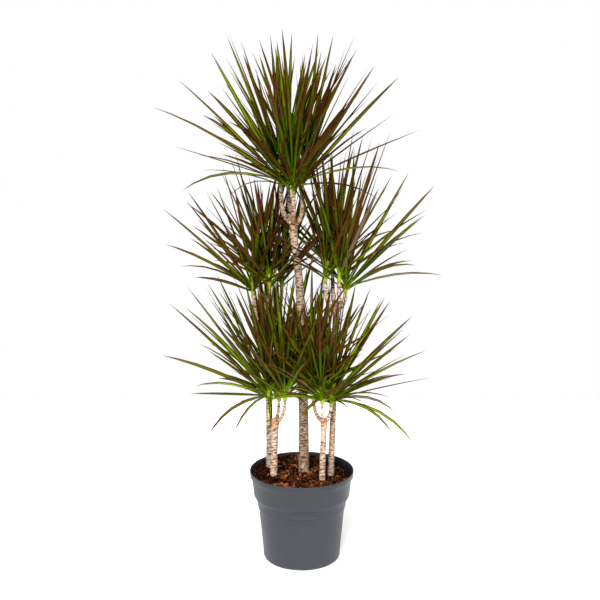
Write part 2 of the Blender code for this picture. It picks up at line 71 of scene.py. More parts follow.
# Pot: its sizes as in the part, the radius at which its section starts and ends, where a small face
# closes it, and the slope at either side of a notch and its margin inwards
POT_HEIGHT = 0.276
RIM_RADIUS = 0.155
WALL = 0.0022
FLOOR_TOP = 0.0075
CORNER_RADIUS = 0.0125
LIP_RADIUS = 0.0016
POLE_RADIUS = 0.0004
POT_STEPS = 192
NOTCH_COUNT = 4
NOTCH_WIDTH = 0.039
NOTCH_HEIGHT = 0.004
NOTCH_INNER_RADIUS = 0.100
NOTCH_SLOPE = 0.0012
NOTCH_MARGIN = 0.001
NOTCH_TURN = math.radians(-101.3)

# Painted shade on the pot, dark on the inner wall and in the grooves outside: how far past the inner wall it
# reaches and fades, where it ends under the lip and over what height it fades there, and the grooves under
# the step and the rings as (height, half-width, strength)
SHADE_PAST_WALL = 0.0006
SHADE_WALL_FADE = 0.0004
SHADE_TOP = 0.271
SHADE_TOP_FADE = 0.003
GROOVES = ((0.1930, 0.0024, 0.88), (0.1836, 0.0010, 0.65), (0.1661, 0.0010, 0.65), (0.1550, 0.0010, 0.45))

# Soil: its sizes as in the part, the heap at the back left, the dip at the right, its grid, how far it
# keeps from the wall, and the skirt that turns down there. The first ring's share is one of area.
SOIL_TOP = 0.254
SOIL_EDGE_DROP = 0.006
SOIL_EDGE_WIDTH = 0.018
SOIL_HEAP = 0.015
SOIL_HEAP_TURN = math.radians(135)
HEAP_START = 0.62
HEAP_SLOPE = 0.35
HEAP_SIDE = 0.10
HEAP_SIDE_SLOPE = 0.55
SOIL_DIP = 0.003
DIP_WAY = (0.89, 0.45)
DIP_START = 0.3
DIP_SLOPE = 0.7
SOIL_CURVE = 1.5
SOIL_REACH = 0.146
SOIL_RINGS = 90
SOIL_STEPS = 260
SOIL_FROM_WALL = 0.0002
SOIL_SKIRT = 0.02
SKIRT_SHARE = 0.998
FIRST_RING_SHARE = 0.0004

# Lumps of the soil, each as (height, cell size), and the size and seed of its dry patches
SOIL_LUMPS = ((0.0060, 0.020), (0.0036, 0.0075), (0.0024, 0.0030))
DRY_PATCH = 0.026
DRY_SEED = 5

# Crumbs: their seed, how many, smallest and largest size and the power that favours small ones, least and
# most stretch of each axis, jitter of the corners, how far they stand out, and how far they keep from the
# wall
CRUMB_SEED = 12
CRUMB_COUNT = 4400
CRUMB_SIZES = (0.0013, 0.0050)
CRUMB_SMALLNESS = 2.2
CRUMB_STRETCH = ((0.8, 0.5, 0.4), (1.5, 1.0, 0.8))
CRUMB_JITTER = 0.25
CRUMB_LIFT = 0.25
CRUMB_FROM_WALL = 0.005

# Crumbs are dark, red or pale by chance and by how dry their patch is: the weight of dryness, where red
# and pale begin, and the colours
CRUMB_DRYNESS = 1.1
CRUMB_KINDS = (0.54, 0.91)
CRUMB_COLOURS = {
    "dark": (0.004, 0.0014, 0.0006),
    "red": (0.086, 0.021, 0.005),
    "pale": (0.28, 0.096, 0.034),
}

# Patterns of noise, each as waves to a metre along x, y and z, detail, and the range that is spread to
# 0..1
SLATE_CLOUDING = ((9, 9, 5), 3.0, 0.35, 0.65)
SLATE_LINES = ((6, 6, 900), 2.0, 0.35, 0.65)
SLATE_SCUFFING = ((60, 60, 25), 4.0, 0.66, 0.76)
PEAT_LUMPS = ((180, 180, 180), 3.0, 0.38, 0.66)
PEAT_FIBRES = ((420, 300, 300), 3.0, 0.62, 0.70)
PEAT_DRYNESS = ((38, 38, 38), 2.0, 0.40, 0.62)
BARK_PATCHES = ((75, 75, 130), 3.0, 0.42, 0.60)
BARK_DASHES = ((85, 85, 190), 2.5, 0.53, 0.59)
BARK_SPECKS = ((330, 330, 520), 1.0, 0.57, 0.66)

# Finishes as roughness and gloss, and bumps as strength and height
BARK_FINISH = (0.8, 0.3)
PEAT_FINISH = (0.95, 0.05)
CRUMB_FINISH = (0.9, 0.05)
LEAF_FINISH = (0.5, 0.03)
STEM_FINISH = (0.5, 0.1)
BARK_BUMP = (0.35, 0.0006)
SLATE_BUMP = (0.12, 0.0004)
PEAT_BUMP = (0.8, 0.002)

# Slate plastic, linear: dark and light clouds, scuffs, the painted shade in the pot and its grooves, and
# the roughness of dark and light clouds
SLATE_COLOURS = ((0.0200, 0.0230, 0.0296), (0.0248, 0.0280, 0.0346))
SCUFF_COLOUR = (0.038, 0.041, 0.048)
SHADE_COLOUR = (0.006, 0.006, 0.007)
SLATE_ROUGHNESS = (0.42, 0.55)

# Peat, linear: dark and light lumps where it is wet and where it is dry, and pale fibres
WET_COLOURS = ((0.002, 0.0007, 0.0003), (0.022, 0.006, 0.002))
DRY_COLOURS = ((0.003, 0.001, 0.0004), (0.056, 0.015, 0.005))
FIBRE_COLOUR = (0.24, 0.09, 0.034)

# Bark, linear: pale patches, tan patches, brown dashes and dark scars of the canes and of the boughs
CANE_BARK = ((0.68, 0.52, 0.395), (0.49, 0.295, 0.170), (0.24, 0.092, 0.034), (0.050, 0.018, 0.006))
BOUGH_BARK = ((0.69, 0.53, 0.40), (0.51, 0.30, 0.17), (0.28, 0.108, 0.040), (0.080, 0.029, 0.011))

# Pale and tan patches of weathered bark and of an orange fork, the fork's dashes, and the colours of
# specks and of the painted highlight on scar lips on fresh and on weathered bark
OLD_COLOURS = ((0.38, 0.255, 0.165), (0.18, 0.100, 0.054))
FORK_COLOURS = ((0.60, 0.30, 0.13), (0.40, 0.165, 0.058))
FORK_DASH = (0.20, 0.075, 0.028)
SPECK_COLOURS = ((0.82, 0.74, 0.64), (0.46, 0.34, 0.24))
LIP_HIGHLIGHT_COLOURS = ((0.80, 0.71, 0.62), (0.44, 0.33, 0.24))

# Clear gap between neighbouring solids
GAP = 0.0003

# Leaf rule, as in the part: how leaves turn, lean, sag and shorten from the youngest (age 0) to the
# oldest (age 1)
GOLDEN_TURN = math.radians(137.508)
LEAF_COUNT = 58
STEM_LENGTH = 0.062
STEM_RADIUS = 0.0074
ROOT_OFFSET = 0.0036
LOWEST_ROOT = 0.12
HIGHEST_ROOT = 0.92
AWAY_TILT = 0.03
LEAN_YOUNG = 6.0
LEAN_OLD = 62.0
LEAN_POWER = 1.05
LEAN_SPREAD = 8.0
HANG_SHARE = 0.04
HANG_LEAN = 18.0
HANG_SAG = 0.15
SAG_YOUNG = 0.01
SAG_OLD = 0.21
SAG_VARIES = 0.8
SAG_POWER = 1.7
SHORTEST = 0.70
BUD_LENGTH = 0.72
BUD_AGE = 0.2
OLD_SHORTER = 0.45
SPINE_STEPS = 20

# Single leaves: how far up the stem they root, how far those to the side roll to face forwards, and their
# width beside the rule's leaves. Leaves under the short length are wider by a share, and none is wider
# than the most.
SINGLE_ROOT = 0.32
SINGLE_ROLL = 0.85
SINGLE_WIDTH = 0.85
SHORT_LEAF = 0.16
SHORT_WIDTH = 1.35
MOST_WIDTH_SHARE = 0.095

# Leaf blade: stations along it, its width there as a share of the widest, how far out its bright streak
# and its green stripe reach there, and how steeply its halves fold up
STATIONS = np.array([0.0, 0.07, 0.18, 0.34, 0.52, 0.70, 0.87, 1.0])
WIDTHS = np.array([0.74, 0.64, 0.78, 0.99, 1.00, 0.83, 0.49, 0.016])
STREAKS = np.array([0.62, 0.54, 0.48, 0.42, 0.38, 0.34, 0.30, 0.25])
STRIPES = np.array([0.94, 0.86, 0.78, 0.70, 0.65, 0.60, 0.52, 0.44])
FOLDS = np.array([0.80, 0.62, 0.54, 0.48, 0.44, 0.38, 0.26, 0.08])
BLADE_COLUMNS = 9
LEAF_WIDTH = (0.0110, 0.0158)
FULL_WIDTH_LENGTH = 0.36
LEAST_WIDTH_SHARE = 0.82
BLADE_THICKNESS = 0.0006
LEAST_THICKNESS_SHARE = 0.2
UNDERSIDE_RISE = 0.7
STRIPE_VARIES = (0.70, 1.12)
STRIPE_LIMITS = (0.1, 0.94)
FOLD_VARIES = (0.6, 1.3)
MOST_ROLL = math.radians(55)
MOST_TWIST = math.radians(30)
MOST_SIDE_BEND = 0.05

# Strips across a blade, numbered over the upper face and back along the under face: the edges, the
# stripes beside the streak, the streak, and the two in the middle of the under face
EDGE_STRIPS = [0, 4, 5, 8]
STRIPE_STRIPS = [1, 3, 6, 7]
STREAK_STRIP = [2]
UNDER_STRIPS = [6, 7]

# Leaf colours, linear: each is one plain finish of its own pieces. The first six run from a leaf's base
# to its tip. The deep and half shades are painted shade, and the sheen is a painted sheen.
LEAF_COLOURS = {
    "lime_base": (0.225, 0.365, 0.003),
    "bright_streak": (0.128, 0.222, 0.001),
    "green_stripe": (0.067, 0.112, 0.001),
    "olive_stripe": (0.080, 0.060, 0.001),
    "brown_stripe": (0.084, 0.034, 0.002),
    "burgundy_edge": (0.056, 0.016, 0.003),
    "maroon_blade": (0.118, 0.040, 0.013),
    "pale_back": (0.170, 0.125, 0.065),
    # Painted shade, deep and half
    "deep_shade": (0.005, 0.006, 0.0005),
    "painted_half_shade": (0.028, 0.036, 0.001),
    # A painted sheen
    "painted_sheen": (0.150, 0.178, 0.100),
}
LEAF_NAMES = list(LEAF_COLOURS)
LAST_OF_RUN = 5
STEM_GREEN = (0.34, 0.44, 0.03)

# How far on a streak and a stripe are in the run of colours: see run_along
STREAK_RUN = (0.3, 0.7, 0.8, 1.3)
STRIPE_RUN = (1.2, 1.5, 1.6, 2.4)

# How far on in the run a leaf's base is, at most and by its tone, and the stripe and streak just above it
BASE_LIMIT = 2
BASE_BY_TONE = 2.4
BASE_TONE = 0.45
LOW_STRIPE = 0.9
LOW_BY_TONE = 1.3

# How leaves differ in colour: tone by age and by chance, how far each strip's run is shifted, the chance of
# burgundy edges, that of a maroon leaf at tone 1, the age up to which a leaf is an inner one, the chances
# of painted shade and of deeper painted shade on it, of a painted sheen and of a pale back, and the tone up
# to which low edges are green
TONE_BY_AGE = 0.3
TONE_VARIES = 0.30
RUN_VARIES = 0.35
BURGUNDY_CHANCE = 0.75
MAROON_CHANCE = 0.30
INNER_AGE = 0.50
SHADE_CHANCE = 0.85
DEEP_SHADE_CHANCE = 0.40
SHEEN_CHANCE = 0.05
PALE_BACK_CHANCE = 0.025
FRESH_TONE = 0.35

# Each cane: foot (x, y), points it leans through, fork, radii at foot and fork, leaf length, the extra
# lean of its leaves in degrees, their tone from green (0) to maroon (1), how grey its old bark is, its
# fullness towards each seen direction, and the foot of each head that its boughs carry.
CANES = {
    "tall": {
        "foot": (0.0066, 0.040),
        "bends": [
            (0.005, 0.040, 0.463),
            (-0.004, 0.035, 0.776),
            (-0.012, 0.030, 0.890),
            (-0.023, 0.030, 0.974),
        ],
        "fork": (-0.0234, 0.030, 1.0094),
        "radii": (0.0156, 0.0106),
        "leaf": 0.440,
        "lean": 0.0,
        "tone": 0.52,
        "grey": 1.00,
        "fullness": (0.08, 0.74, 0.72, 0.76, 0.52, 0.62, 0.96, 0.12, 0.04, 0.40),
        "heads": {
            "left": (-0.060, 0.030, 1.116),
            "back": (-0.039, 0.075, 1.103),
            "front": (-0.024, -0.010, 1.100),
            "right": (0.001, 0.030, 1.114),
        },
    },
    "mid_left": {
        "foot": (-0.0980, 0.067),
        "bends": [(-0.0985, 0.067, 0.458)],
        "fork": (-0.1021, 0.070, 0.7109),
        "radii": (0.0104, 0.0089),
        "leaf": 0.390,
        "lean": -3.0,
        "tone": 0.88,
        "grey": 0.42,
        "fullness": (0.38, 0.48, 0.80, 0.40, 0.36, 0.42, 0.50, 0.60, 0.10, 0.20),
        "heads": {
            "left": (-0.143, 0.060, 0.795),
            "front": (-0.094, 0.030, 0.816),
            "right": (-0.060, 0.085, 0.802),
            "back": (-0.107, 0.115, 0.818),
        },
    },
    "mid_right": {
        "foot": (0.0875, 0.007),
        "bends": [(0.0940, 0.012, 0.481)],
        "fork": (0.1001, 0.025, 0.754),
        "radii": (0.0092, 0.0083),
        "leaf": 0.425,
        "lean": -7.0,
        "tone": 0.54,
        "grey": 0.50,
        "fullness": (0.22, 0.42, 0.76, 0.52, 0.52, 0.27, 0.26, 0.80, 0.25, 0.00),
        "heads": {
            "left": (0.068, 0.000, 0.842),
            "back": (0.091, 0.075, 0.855),
            "middle": (0.108, 0.010, 0.839),
            "right": (0.128, 0.045, 0.801),
        },
    },
    "low_left": {
        "foot": (-0.0840, 0.004),
        "bends": [],
        "fork": (-0.0785, 0.004, 0.4215),
        "radii": (0.0101, 0.0096),
        "leaf": 0.435,
        "lean": -3.0,
        "tone": 0.38,
        "grey": 0.10,
        "fullness": (0.56, 0.30, 0.50, 1.00, 0.84, 0.67, 0.60, 0.60, 0.60, 0.50),
        "heads": {
            "left": (-0.098, -0.005, 0.486),
            "middle": (-0.068, 0.035, 0.477),
            "right": (-0.049, -0.020, 0.497),
        },
    },
    "low_right": {
        "foot": (0.0605, -0.032),
        "bends": [],
        "fork": (0.0652, -0.030, 0.4326),
        "radii": (0.0086, 0.0084),
        "leaf": 0.385,
        "lean": 0.0,
        "tone": 0.36,
        "grey": 0.10,
        "fullness": (0.60, 0.65, 0.70, 0.94, 0.74, 0.60, 0.50, 1.00, 0.46, 0.02),
        "heads": {
            "left": (0.034, -0.020, 0.506),
            "front": (0.059, -0.055, 0.495),
            "right": (0.086, -0.020, 0.478),
        },
    },
}

# The seed of each cane, from which its bark and its leaves are drawn
SEEDS = {"tall": 288, "mid_left": 131, "mid_right": 94, "low_left": 394, "low_right": 71}

# Canes: points to a line, the upright foot, how deep a cane goes on into the soil, how it flares there
# and swells under its fork, and the dome that closes it
CANE_STEPS = 160
UPRIGHT_FOOT = 0.012
BURIED = 0.008
FOOT_FLARE = 1.10
FLARE_HEIGHT = 0.030
FORK_SWELL = 1.28
SWELL_HEIGHT = 0.022
KNOB_WIDTH_SHARE = 1.06
KNOB_HEIGHT_SHARE = 1.15
DOME_START = 0.002
DOME_LEAST = 0.004

# Boughs: radii at fork and head, how far sideways and up they leave the fork, how firmly they keep their
# way at either end, how much thinner the low ones are, points to a line, and the swelling near the fork
BOUGH_RADII = (0.0073, 0.0058)
BOUGH_SPREAD = 0.95
BOUGH_RISE = 0.33
BOUGH_LEAVE_PULL = 1.0
BOUGH_ARRIVE_PULL = 1.3
LOW_BOUGH_SHARE = 0.8
BOUGH_STEPS = 120
BOUGH_SWELL = 0.35
BOUGH_SWELL_FADE = 0.12

# Bark: the grid's step along a limb and its sides round canes and boughs, the area of bark to each scar,
# how far scars stray along and round the limb, how many pitches away a scar still shows, the least and
# most half-length and width of scars, their strength and its spread, how far their ends rise, the depth
# of their groove, where their lip lies, how wide and how high it is, how far on in the noise the next
# seed reads and after how many seeds that repeats, the height and sizes of lumps, and the radius under
# which the relief fades
BARK_STEP = 0.00125
BARK_SIDES = 40
BOUGH_SIDES = 32
SCAR_AREA = 0.000120
SCAR_JITTER = 0.0024
SCAR_TURN_JITTER = 0.4
SCAR_REACH = 9
SCAR_HALF_LENGTH = (0.0028, 0.0080)
SCAR_WIDTH = (0.0012, 0.0023)
SCAR_STRENGTH = (0.80, 0.65)
MOST_SCAR_STRENGTH = 1.5
SCAR_BEND = 0.0011
SCAR_DEPTH = 0.00060
SCAR_LIP_BELOW = 0.0022
SCAR_LIP_WIDTH = 0.0012
SCAR_LIP_SHARE = 0.5
NOISE_SHIFT = 0.31
NOISE_SHIFTS = 97
BARK_LUMPS = 0.00050
LUMP_CELLS = (0.014, 0.004)
THIN_LIMB = 0.006

# Patches on the bark, each as cell size, gain, offset, least and most (see patches_on): where scars
# crowd, blotches of old bark, the orange round the forks, and the creases between boughs
CROWDED_SCARS = (0.017, 2.6, 0.35, 0.15, 1.3)
BLOTCHES = (0.019, 3.2, 1.9, 0, 1)
CANE_FORK_PATCHES = (0.012, 2.4, 0.25, 0, 0.9)
BOUGH_FORK_PATCHES = (0.010, 2.4, 0.15, 0, 0.9)
CREASE_PATCHES = (0.010, 5.0, 2.3, 0, 1)

# The grey of old bark: the height where it ends, the length over which it fades, its least share above,
# the size of its mottling, its level and how much the mottling adds, and the strength of the blotches
GREY_TOP = 0.62
GREY_FADE = 0.20
GREY_LEAST = 0.12
GREY_CELL = 0.012
GREY_LEVEL = 0.55
GREY_MOTTLING = 0.9
BLOTCH_STRENGTH = 0.45

# The orange of the forks: how far it reaches along a cane, how far along a bough as a share of it, and
# where along a bough the crease lies and how wide it is
FORK_REACH = 0.021
BOUGH_FORK_REACH = 0.34
CREASE_PLACE = 0.13
CREASE_WIDTH = 0.018

# Head stems: sides, rings, and their radius as a share of the full one at shares of their height
STEM_SIDES = 16
STEM_RINGS = 12
STEM_PLACES = (0, 0.55, 1)
STEM_SHARES = (0.74, 0.86, 0.40)

# Single leaves that stand out of their head, by cane and head: turn and lean in degrees, sag, length
SINGLE_LEAVES = {
    ("tall", "left"): (
        (190, 54, 0.15, 0.41), (175, 44, 0.05, 0.404), (200, 75, 0.45, 0.30),
        (165, 29, 0.03, 0.411), (200, 20, 0.02, 0.415),
    ),
    ("tall", "back"): (
        (150, 9, 0.02, 0.43), (90, 10, 0.02, 0.435), (75, 52, 0.12, 0.40),
        (110, 68, 0.30, 0.32),
    ),
    ("tall", "front"): (
        (300, 11, 0.02, 0.40), (280, 60, 0.20, 0.36),
    ),
    ("tall", "right"): (
        (20, 12, 0.02, 0.42), (330, 20, 0.03, 0.39), (0, 31, 0.04, 0.38),
        (350, 41, 0.06, 0.395), (350, 71, 0.30, 0.28),
    ),
    ("mid_left", "left"): (
        (180, 46, 0.06, 0.35), (195, 55, 0.15, 0.29), (170, 33, 0.04, 0.34),
        (205, 57, 0.30, 0.24), (190, 18, 0.02, 0.32),
    ),
    ("mid_left", "front"): ((345, 39, 0.10, 0.24),),
    ("mid_left", "back"): (
        (100, 50, 0.10, 0.37), (130, 62, 0.25, 0.30),
    ),
    ("mid_right", "right"): (
        (0, 39, 0.05, 0.39), (340, 69, 0.25, 0.29), (15, 46, 0.08, 0.314),
        (10, 28, 0.04, 0.38),
    ),
    ("mid_right", "middle"): ((340, 18, 0.03, 0.44),),
    ("mid_right", "back"): (
        (60, 24, 0.02, 0.42), (80, 48, 0.08, 0.38), (45, 63, 0.25, 0.30),
    ),
    ("mid_right", "left"): ((265, 60, 0.20, 0.30),),
    ("low_left", "left"): (
        (190, 61, 0.12, 0.335), (180, 44, 0.05, 0.395), (175, 35, 0.04, 0.397),
        (205, 63, 0.30, 0.235), (195, 97, 0.80, 0.215), (235, 90, 0.80, 0.18),
        (200, 22, 0.03, 0.38), (185, 86, 0.03, 0.225), (277, 97, 0.35, 0.150),
    ),
    ("low_left", "middle"): (
        (100, 62, 0.20, 0.34), (75, 75, 0.50, 0.26),
    ),
    ("low_left", "right"): ((318, 86, 0.35, 0.085),),
    ("low_right", "right"): (
        (0, 57, 0.12, 0.31), (10, 50, 0.06, 0.297), (345, 41, 0.05, 0.311),
        (350, 93, 0.70, 0.28), (335, 86, 0.70, 0.215), (355, 76, 0.60, 0.20),
        (15, 66, 0.20, 0.237), (350, 24, 0.03, 0.341), (340, 95, 0.50, 0.055),
        (195, 35, 0.75, 0.110),
    ),
    ("low_right", "front"): (
        (280, 62, 0.20, 0.30), (236, 97, 0.30, 0.105),
    ),
}

# Single leaves whose blades stand upright, so that they show the camera an edge
UPRIGHT_LEAVES = {
    ("tall", "right"): (
        (5, 66, 0.02, 0.36), (10, 54, 0.02, 0.32),
    ),
    ("tall", "left"): ((178, 72, 0.01, 0.31),),
    ("low_right", "right"): ((5, 77, 0.05, 0.30),),
}

# Directions in which leaves point as seen from the front, in degrees from straight up to the right. For
# each of them a cane's fullness gives the share of the rule's leaves that are there, as sky shows between
# the rest.
SEEN_DIRECTIONS = (-90, -70, -50, -30, -10, 10, 30, 50, 70, 90)

# Places that no leaf of the rule hides from the front: middle and radius
IN_SIGHT = (
    ((-0.023, 0.030, 1.035), 0.036),
    ((-0.021, 0.030, 0.960), 0.016),
    ((-0.010, 0.032, 0.830), 0.014),
    ((-0.006, 0.034, 0.780), 0.014),
    ((-0.075, 0.004, 0.430), 0.022),
    ((0.065, -0.030, 0.440), 0.022),
    ((0.006, 0.040, 0.425), 0.014),
)

UP = np.array([0.0, 0.0, 1.0])
SIDEWAYS = np.array([0.0, 1.0, 0.0])


def unit(v):
    """Vectors scaled to length one."""
    return v / np.linalg.norm(v, axis=-1, keepdims=True)


def square_to(way):
    """Two directions of length one that are square to such a direction and to each other."""
    first = unit(np.cross(SIDEWAYS, way))
    return first, np.cross(way, first)


def bell(off, width):
    """A bell curve: one in the middle, and e to the power of minus the square of the distance in widths."""
    return np.exp(-((off / width) ** 2))


def lattice_noise(points, cell, seed):
    """Smooth noise from 0 to 1: random values on a lattice of cubes, blended by a smooth step."""
    size = 24
    values = np.random.default_rng(seed).random((size, size, size))
    place = points / cell
    low = np.floor(place).astype(int)
    f = place - low
    f = f * f * (3 - 2 * f)
    total = 0.0
    for corner in np.ndindex(2, 2, 2):
        weight = np.prod(np.where(corner, f, 1 - f), axis=-1)
        i, j, k = np.moveaxis((low + corner) % size, -1, 0)
        total = total + weight * values[i, j, k]
    return total


def quads_of(rows, columns, closed):
    """Faces of a grid of rows by columns of points, with the last column joined to the first if closed."""
    across = np.arange(columns if closed else columns - 1)
    i, j = np.meshgrid(np.arange(rows - 1), across, indexing="ij")
    here = i * columns
    above = here + columns
    right = (j + 1) % columns
    return np.stack([here + j, here + right, above + right, above + j], -1).reshape(-1, 4)


def new_piece(name, points, faces, material, nodes=()):
    """A smooth mesh piece that rides on the one body and the nodes that it stands for."""
    mesh = bpy.data.meshes.new(name)
    mesh.from_pydata(points.tolist(), [], faces if isinstance(faces, list) else faces.tolist())
    mesh.shade_smooth()
    mesh.materials.append(material)
    piece = bpy.data.objects.new(name, mesh)
    bpy.context.scene.collection.objects.link(piece)
    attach(piece, "root")
    if nodes:
        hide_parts(*nodes)
    return piece


def set_attributes(piece, **fields):
    """Store each named field, a number or a vector at each point, with a piece."""
    for name, values in fields.items():
        vector = values.size > len(piece.data.vertices)
        attribute = piece.data.attributes.new(name, "FLOAT_VECTOR" if vector else "FLOAT", "POINT")
        attribute.data.foreach_set("vector" if vector else "value", values.astype(np.float32).ravel())


# Materials


def plain_material(name, colour, roughness, gloss=0.3):
    """A Principled material of one colour."""
    material = bpy.data.materials.new(name)
    material.use_nodes = True
    shader = material.node_tree.nodes["Principled BSDF"]
    shader.inputs["Base Color"].default_value = (*colour, 1.0)
    shader.inputs["Roughness"].default_value = roughness
    shader.inputs["Specular IOR Level"].default_value = gloss
    return material


def add_node(tree, kind, inputs=(), **settings):
    """A node with its settings, and its input values or links by name."""
    node = tree.nodes.new(kind)
    for key, value in settings.items():
        setattr(node, key, value)
    for key, value in dict(inputs).items():
        if isinstance(value, bpy.types.NodeSocket):
            tree.links.new(value, node.inputs[key])
        else:
            node.inputs[key].default_value = value
    return node


def blend_colours(tree, factor, first, second):
    """The first colour turned into the second by a factor; each is a colour or a socket."""
    node = tree.nodes.new("ShaderNodeMix")
    node.data_type = "RGBA"
    for index, value in ((0, factor), (6, first), (7, second)):
        if isinstance(value, bpy.types.NodeSocket):
            tree.links.new(value, node.inputs[index])
        elif index == 0:
            node.inputs[index].default_value = value
        else:
            node.inputs[index].default_value = (*value, 1.0)
    return node.outputs[2]


def stretched_noise(tree, coordinates, scale, detail, low, high):
    """Noise read on stretched coordinates and spread from low..high to 0..1."""
    place = add_node(tree, "ShaderNodeMapping", {"Vector": coordinates, "Scale": scale})
    noise = add_node(tree, "ShaderNodeTexNoise", {"Vector": place.outputs[0], "Scale": 1.0, "Detail": detail})
    limits = {"Value": noise.outputs[0], "From Min": low, "From Max": high}
    return add_node(tree, "ShaderNodeMapRange", limits).outputs[0]


def read_attribute(tree, name, output="Fac"):
    """A socket that reads a number, or a vector, stored at the points of a piece."""
    return add_node(tree, "ShaderNodeAttribute", attribute_name=name).outputs[output]


def add_bump(tree, shader, height, strength, distance):
    """Bump the shader's surface by a height."""
    bump = add_node(tree, "ShaderNodeBump", {"Height": height, "Strength": strength, "Distance": distance})
    tree.links.new(bump.outputs[0], shader.inputs["Normal"])


def bark_material(name, pale, tan, brown, dark):
    """Dry bark: pale and tan patches, brown dashes across the grain, dark leaf scars.

    Its place is the attribute bark_place, which runs straight along the limb. The attributes scar, lip,
    weather and knob, from 0 to 1, hold the leaf scars, their raised lips with a painted highlight, the grey
    of old bark and the orange of a fork. Each cover is laid over those before it.
    """
    material = plain_material(name, pale, *BARK_FINISH)
    tree = material.node_tree
    shader = tree.nodes["Principled BSDF"]
    place = read_attribute(tree, "bark_place", "Vector")
    weather = read_attribute(tree, "weather")
    patches = stretched_noise(tree, place, *BARK_PATCHES)
    dashes = stretched_noise(tree, place, *BARK_DASHES)
    specks = stretched_noise(tree, place, *BARK_SPECKS)
    fork = blend_colours(tree, patches, *FORK_COLOURS)
    covers = (
        (weather, blend_colours(tree, patches, *OLD_COLOURS)),
        (specks, blend_colours(tree, weather, *SPECK_COLOURS)),
        (dashes, blend_colours(tree, weather, brown, dark)),
        # Painted highlight on the raised lip below each scar
        (read_attribute(tree, "lip"), blend_colours(tree, weather, *LIP_HIGHLIGHT_COLOURS)),
        (read_attribute(tree, "knob"), blend_colours(tree, dashes, fork, FORK_DASH)),
        (read_attribute(tree, "scar"), dark),
    )
    colour = blend_colours(tree, patches, pale, tan)
    for where, cover in covers:
        colour = blend_colours(tree, where, colour, cover)
    tree.links.new(colour, shader.inputs["Base Color"])
    add_bump(tree, shader, dashes, *BARK_BUMP)
    return material


def pot_material():
    """Slate-grey moulded plastic: clouded, slightly scuffed, faintly lined, with painted shade in it and its
    grooves.
    """
    material = plain_material("slate_plastic", SLATE_COLOURS[0], SLATE_ROUGHNESS[0])
    tree = material.node_tree
    shader = tree.nodes["Principled BSDF"]
    place = add_node(tree, "ShaderNodeTexCoord").outputs["Object"]
    clouds = stretched_noise(tree, place, *SLATE_CLOUDING)
    lines = stretched_noise(tree, place, *SLATE_LINES)
    scuffs = stretched_noise(tree, place, *SLATE_SCUFFING)
    colour = blend_colours(tree, clouds, *SLATE_COLOURS)
    colour = blend_colours(tree, scuffs, colour, SCUFF_COLOUR)
    # Painted shade: darker on the inner wall and in the grooves under the step and the rings
    colour = blend_colours(tree, read_attribute(tree, "inside"), colour, SHADE_COLOUR)
    tree.links.new(colour, shader.inputs["Base Color"])
    smooth, matt = SLATE_ROUGHNESS
    rough = add_node(tree, "ShaderNodeMapRange", {"Value": clouds, "To Min": smooth, "To Max": matt})
    tree.links.new(rough.outputs[0], shader.inputs["Roughness"])
    add_bump(tree, shader, lines, *SLATE_BUMP)
    return material


def soil_material():
    """Moist peat and bark: near-black to red-brown lumps, darker in wet patches, with pale fibres."""
    material = plain_material("peat", DRY_COLOURS[1], *PEAT_FINISH)
    tree = material.node_tree
    shader = tree.nodes["Principled BSDF"]
    place = add_node(tree, "ShaderNodeTexCoord").outputs["Object"]
    lumps = stretched_noise(tree, place, *PEAT_LUMPS)
    fibres = stretched_noise(tree, place, *PEAT_FIBRES)
    dryness = stretched_noise(tree, place, *PEAT_DRYNESS)
    dry = blend_colours(tree, lumps, *DRY_COLOURS)
    wet = blend_colours(tree, lumps, *WET_COLOURS)
    colour = blend_colours(tree, dryness, wet, dry)
    colour = blend_colours(tree, fibres, colour, FIBRE_COLOUR)
    tree.links.new(colour, shader.inputs["Base Color"])
    add_bump(tree, shader, lumps, *PEAT_BUMP)
    return material


# Pot and soil


def arc(centre, radius, start, end, count):
    """Points on an arc in the (radius, height) plane, angles in degrees."""
    angles = np.radians(np.linspace(start, end, count))
    return np.stack([centre[0] + radius * np.cos(angles), centre[1] + radius * np.sin(angles)], -1)


def inner_radius(height):
    """The inside radius of the pot at a height: the outside, read between a few heights, less the wall."""
    heights = [FLOOR_TOP, 0.0320, 0.0810, 0.1390, 0.1790, 0.1975, 0.2550, POT_HEIGHT]
    outside = [0.1115, 0.1168, 0.1212, 0.1268, 0.1329, 0.1410, 0.1490, 0.1528]
    return np.interp(height, heights, outside) - WALL


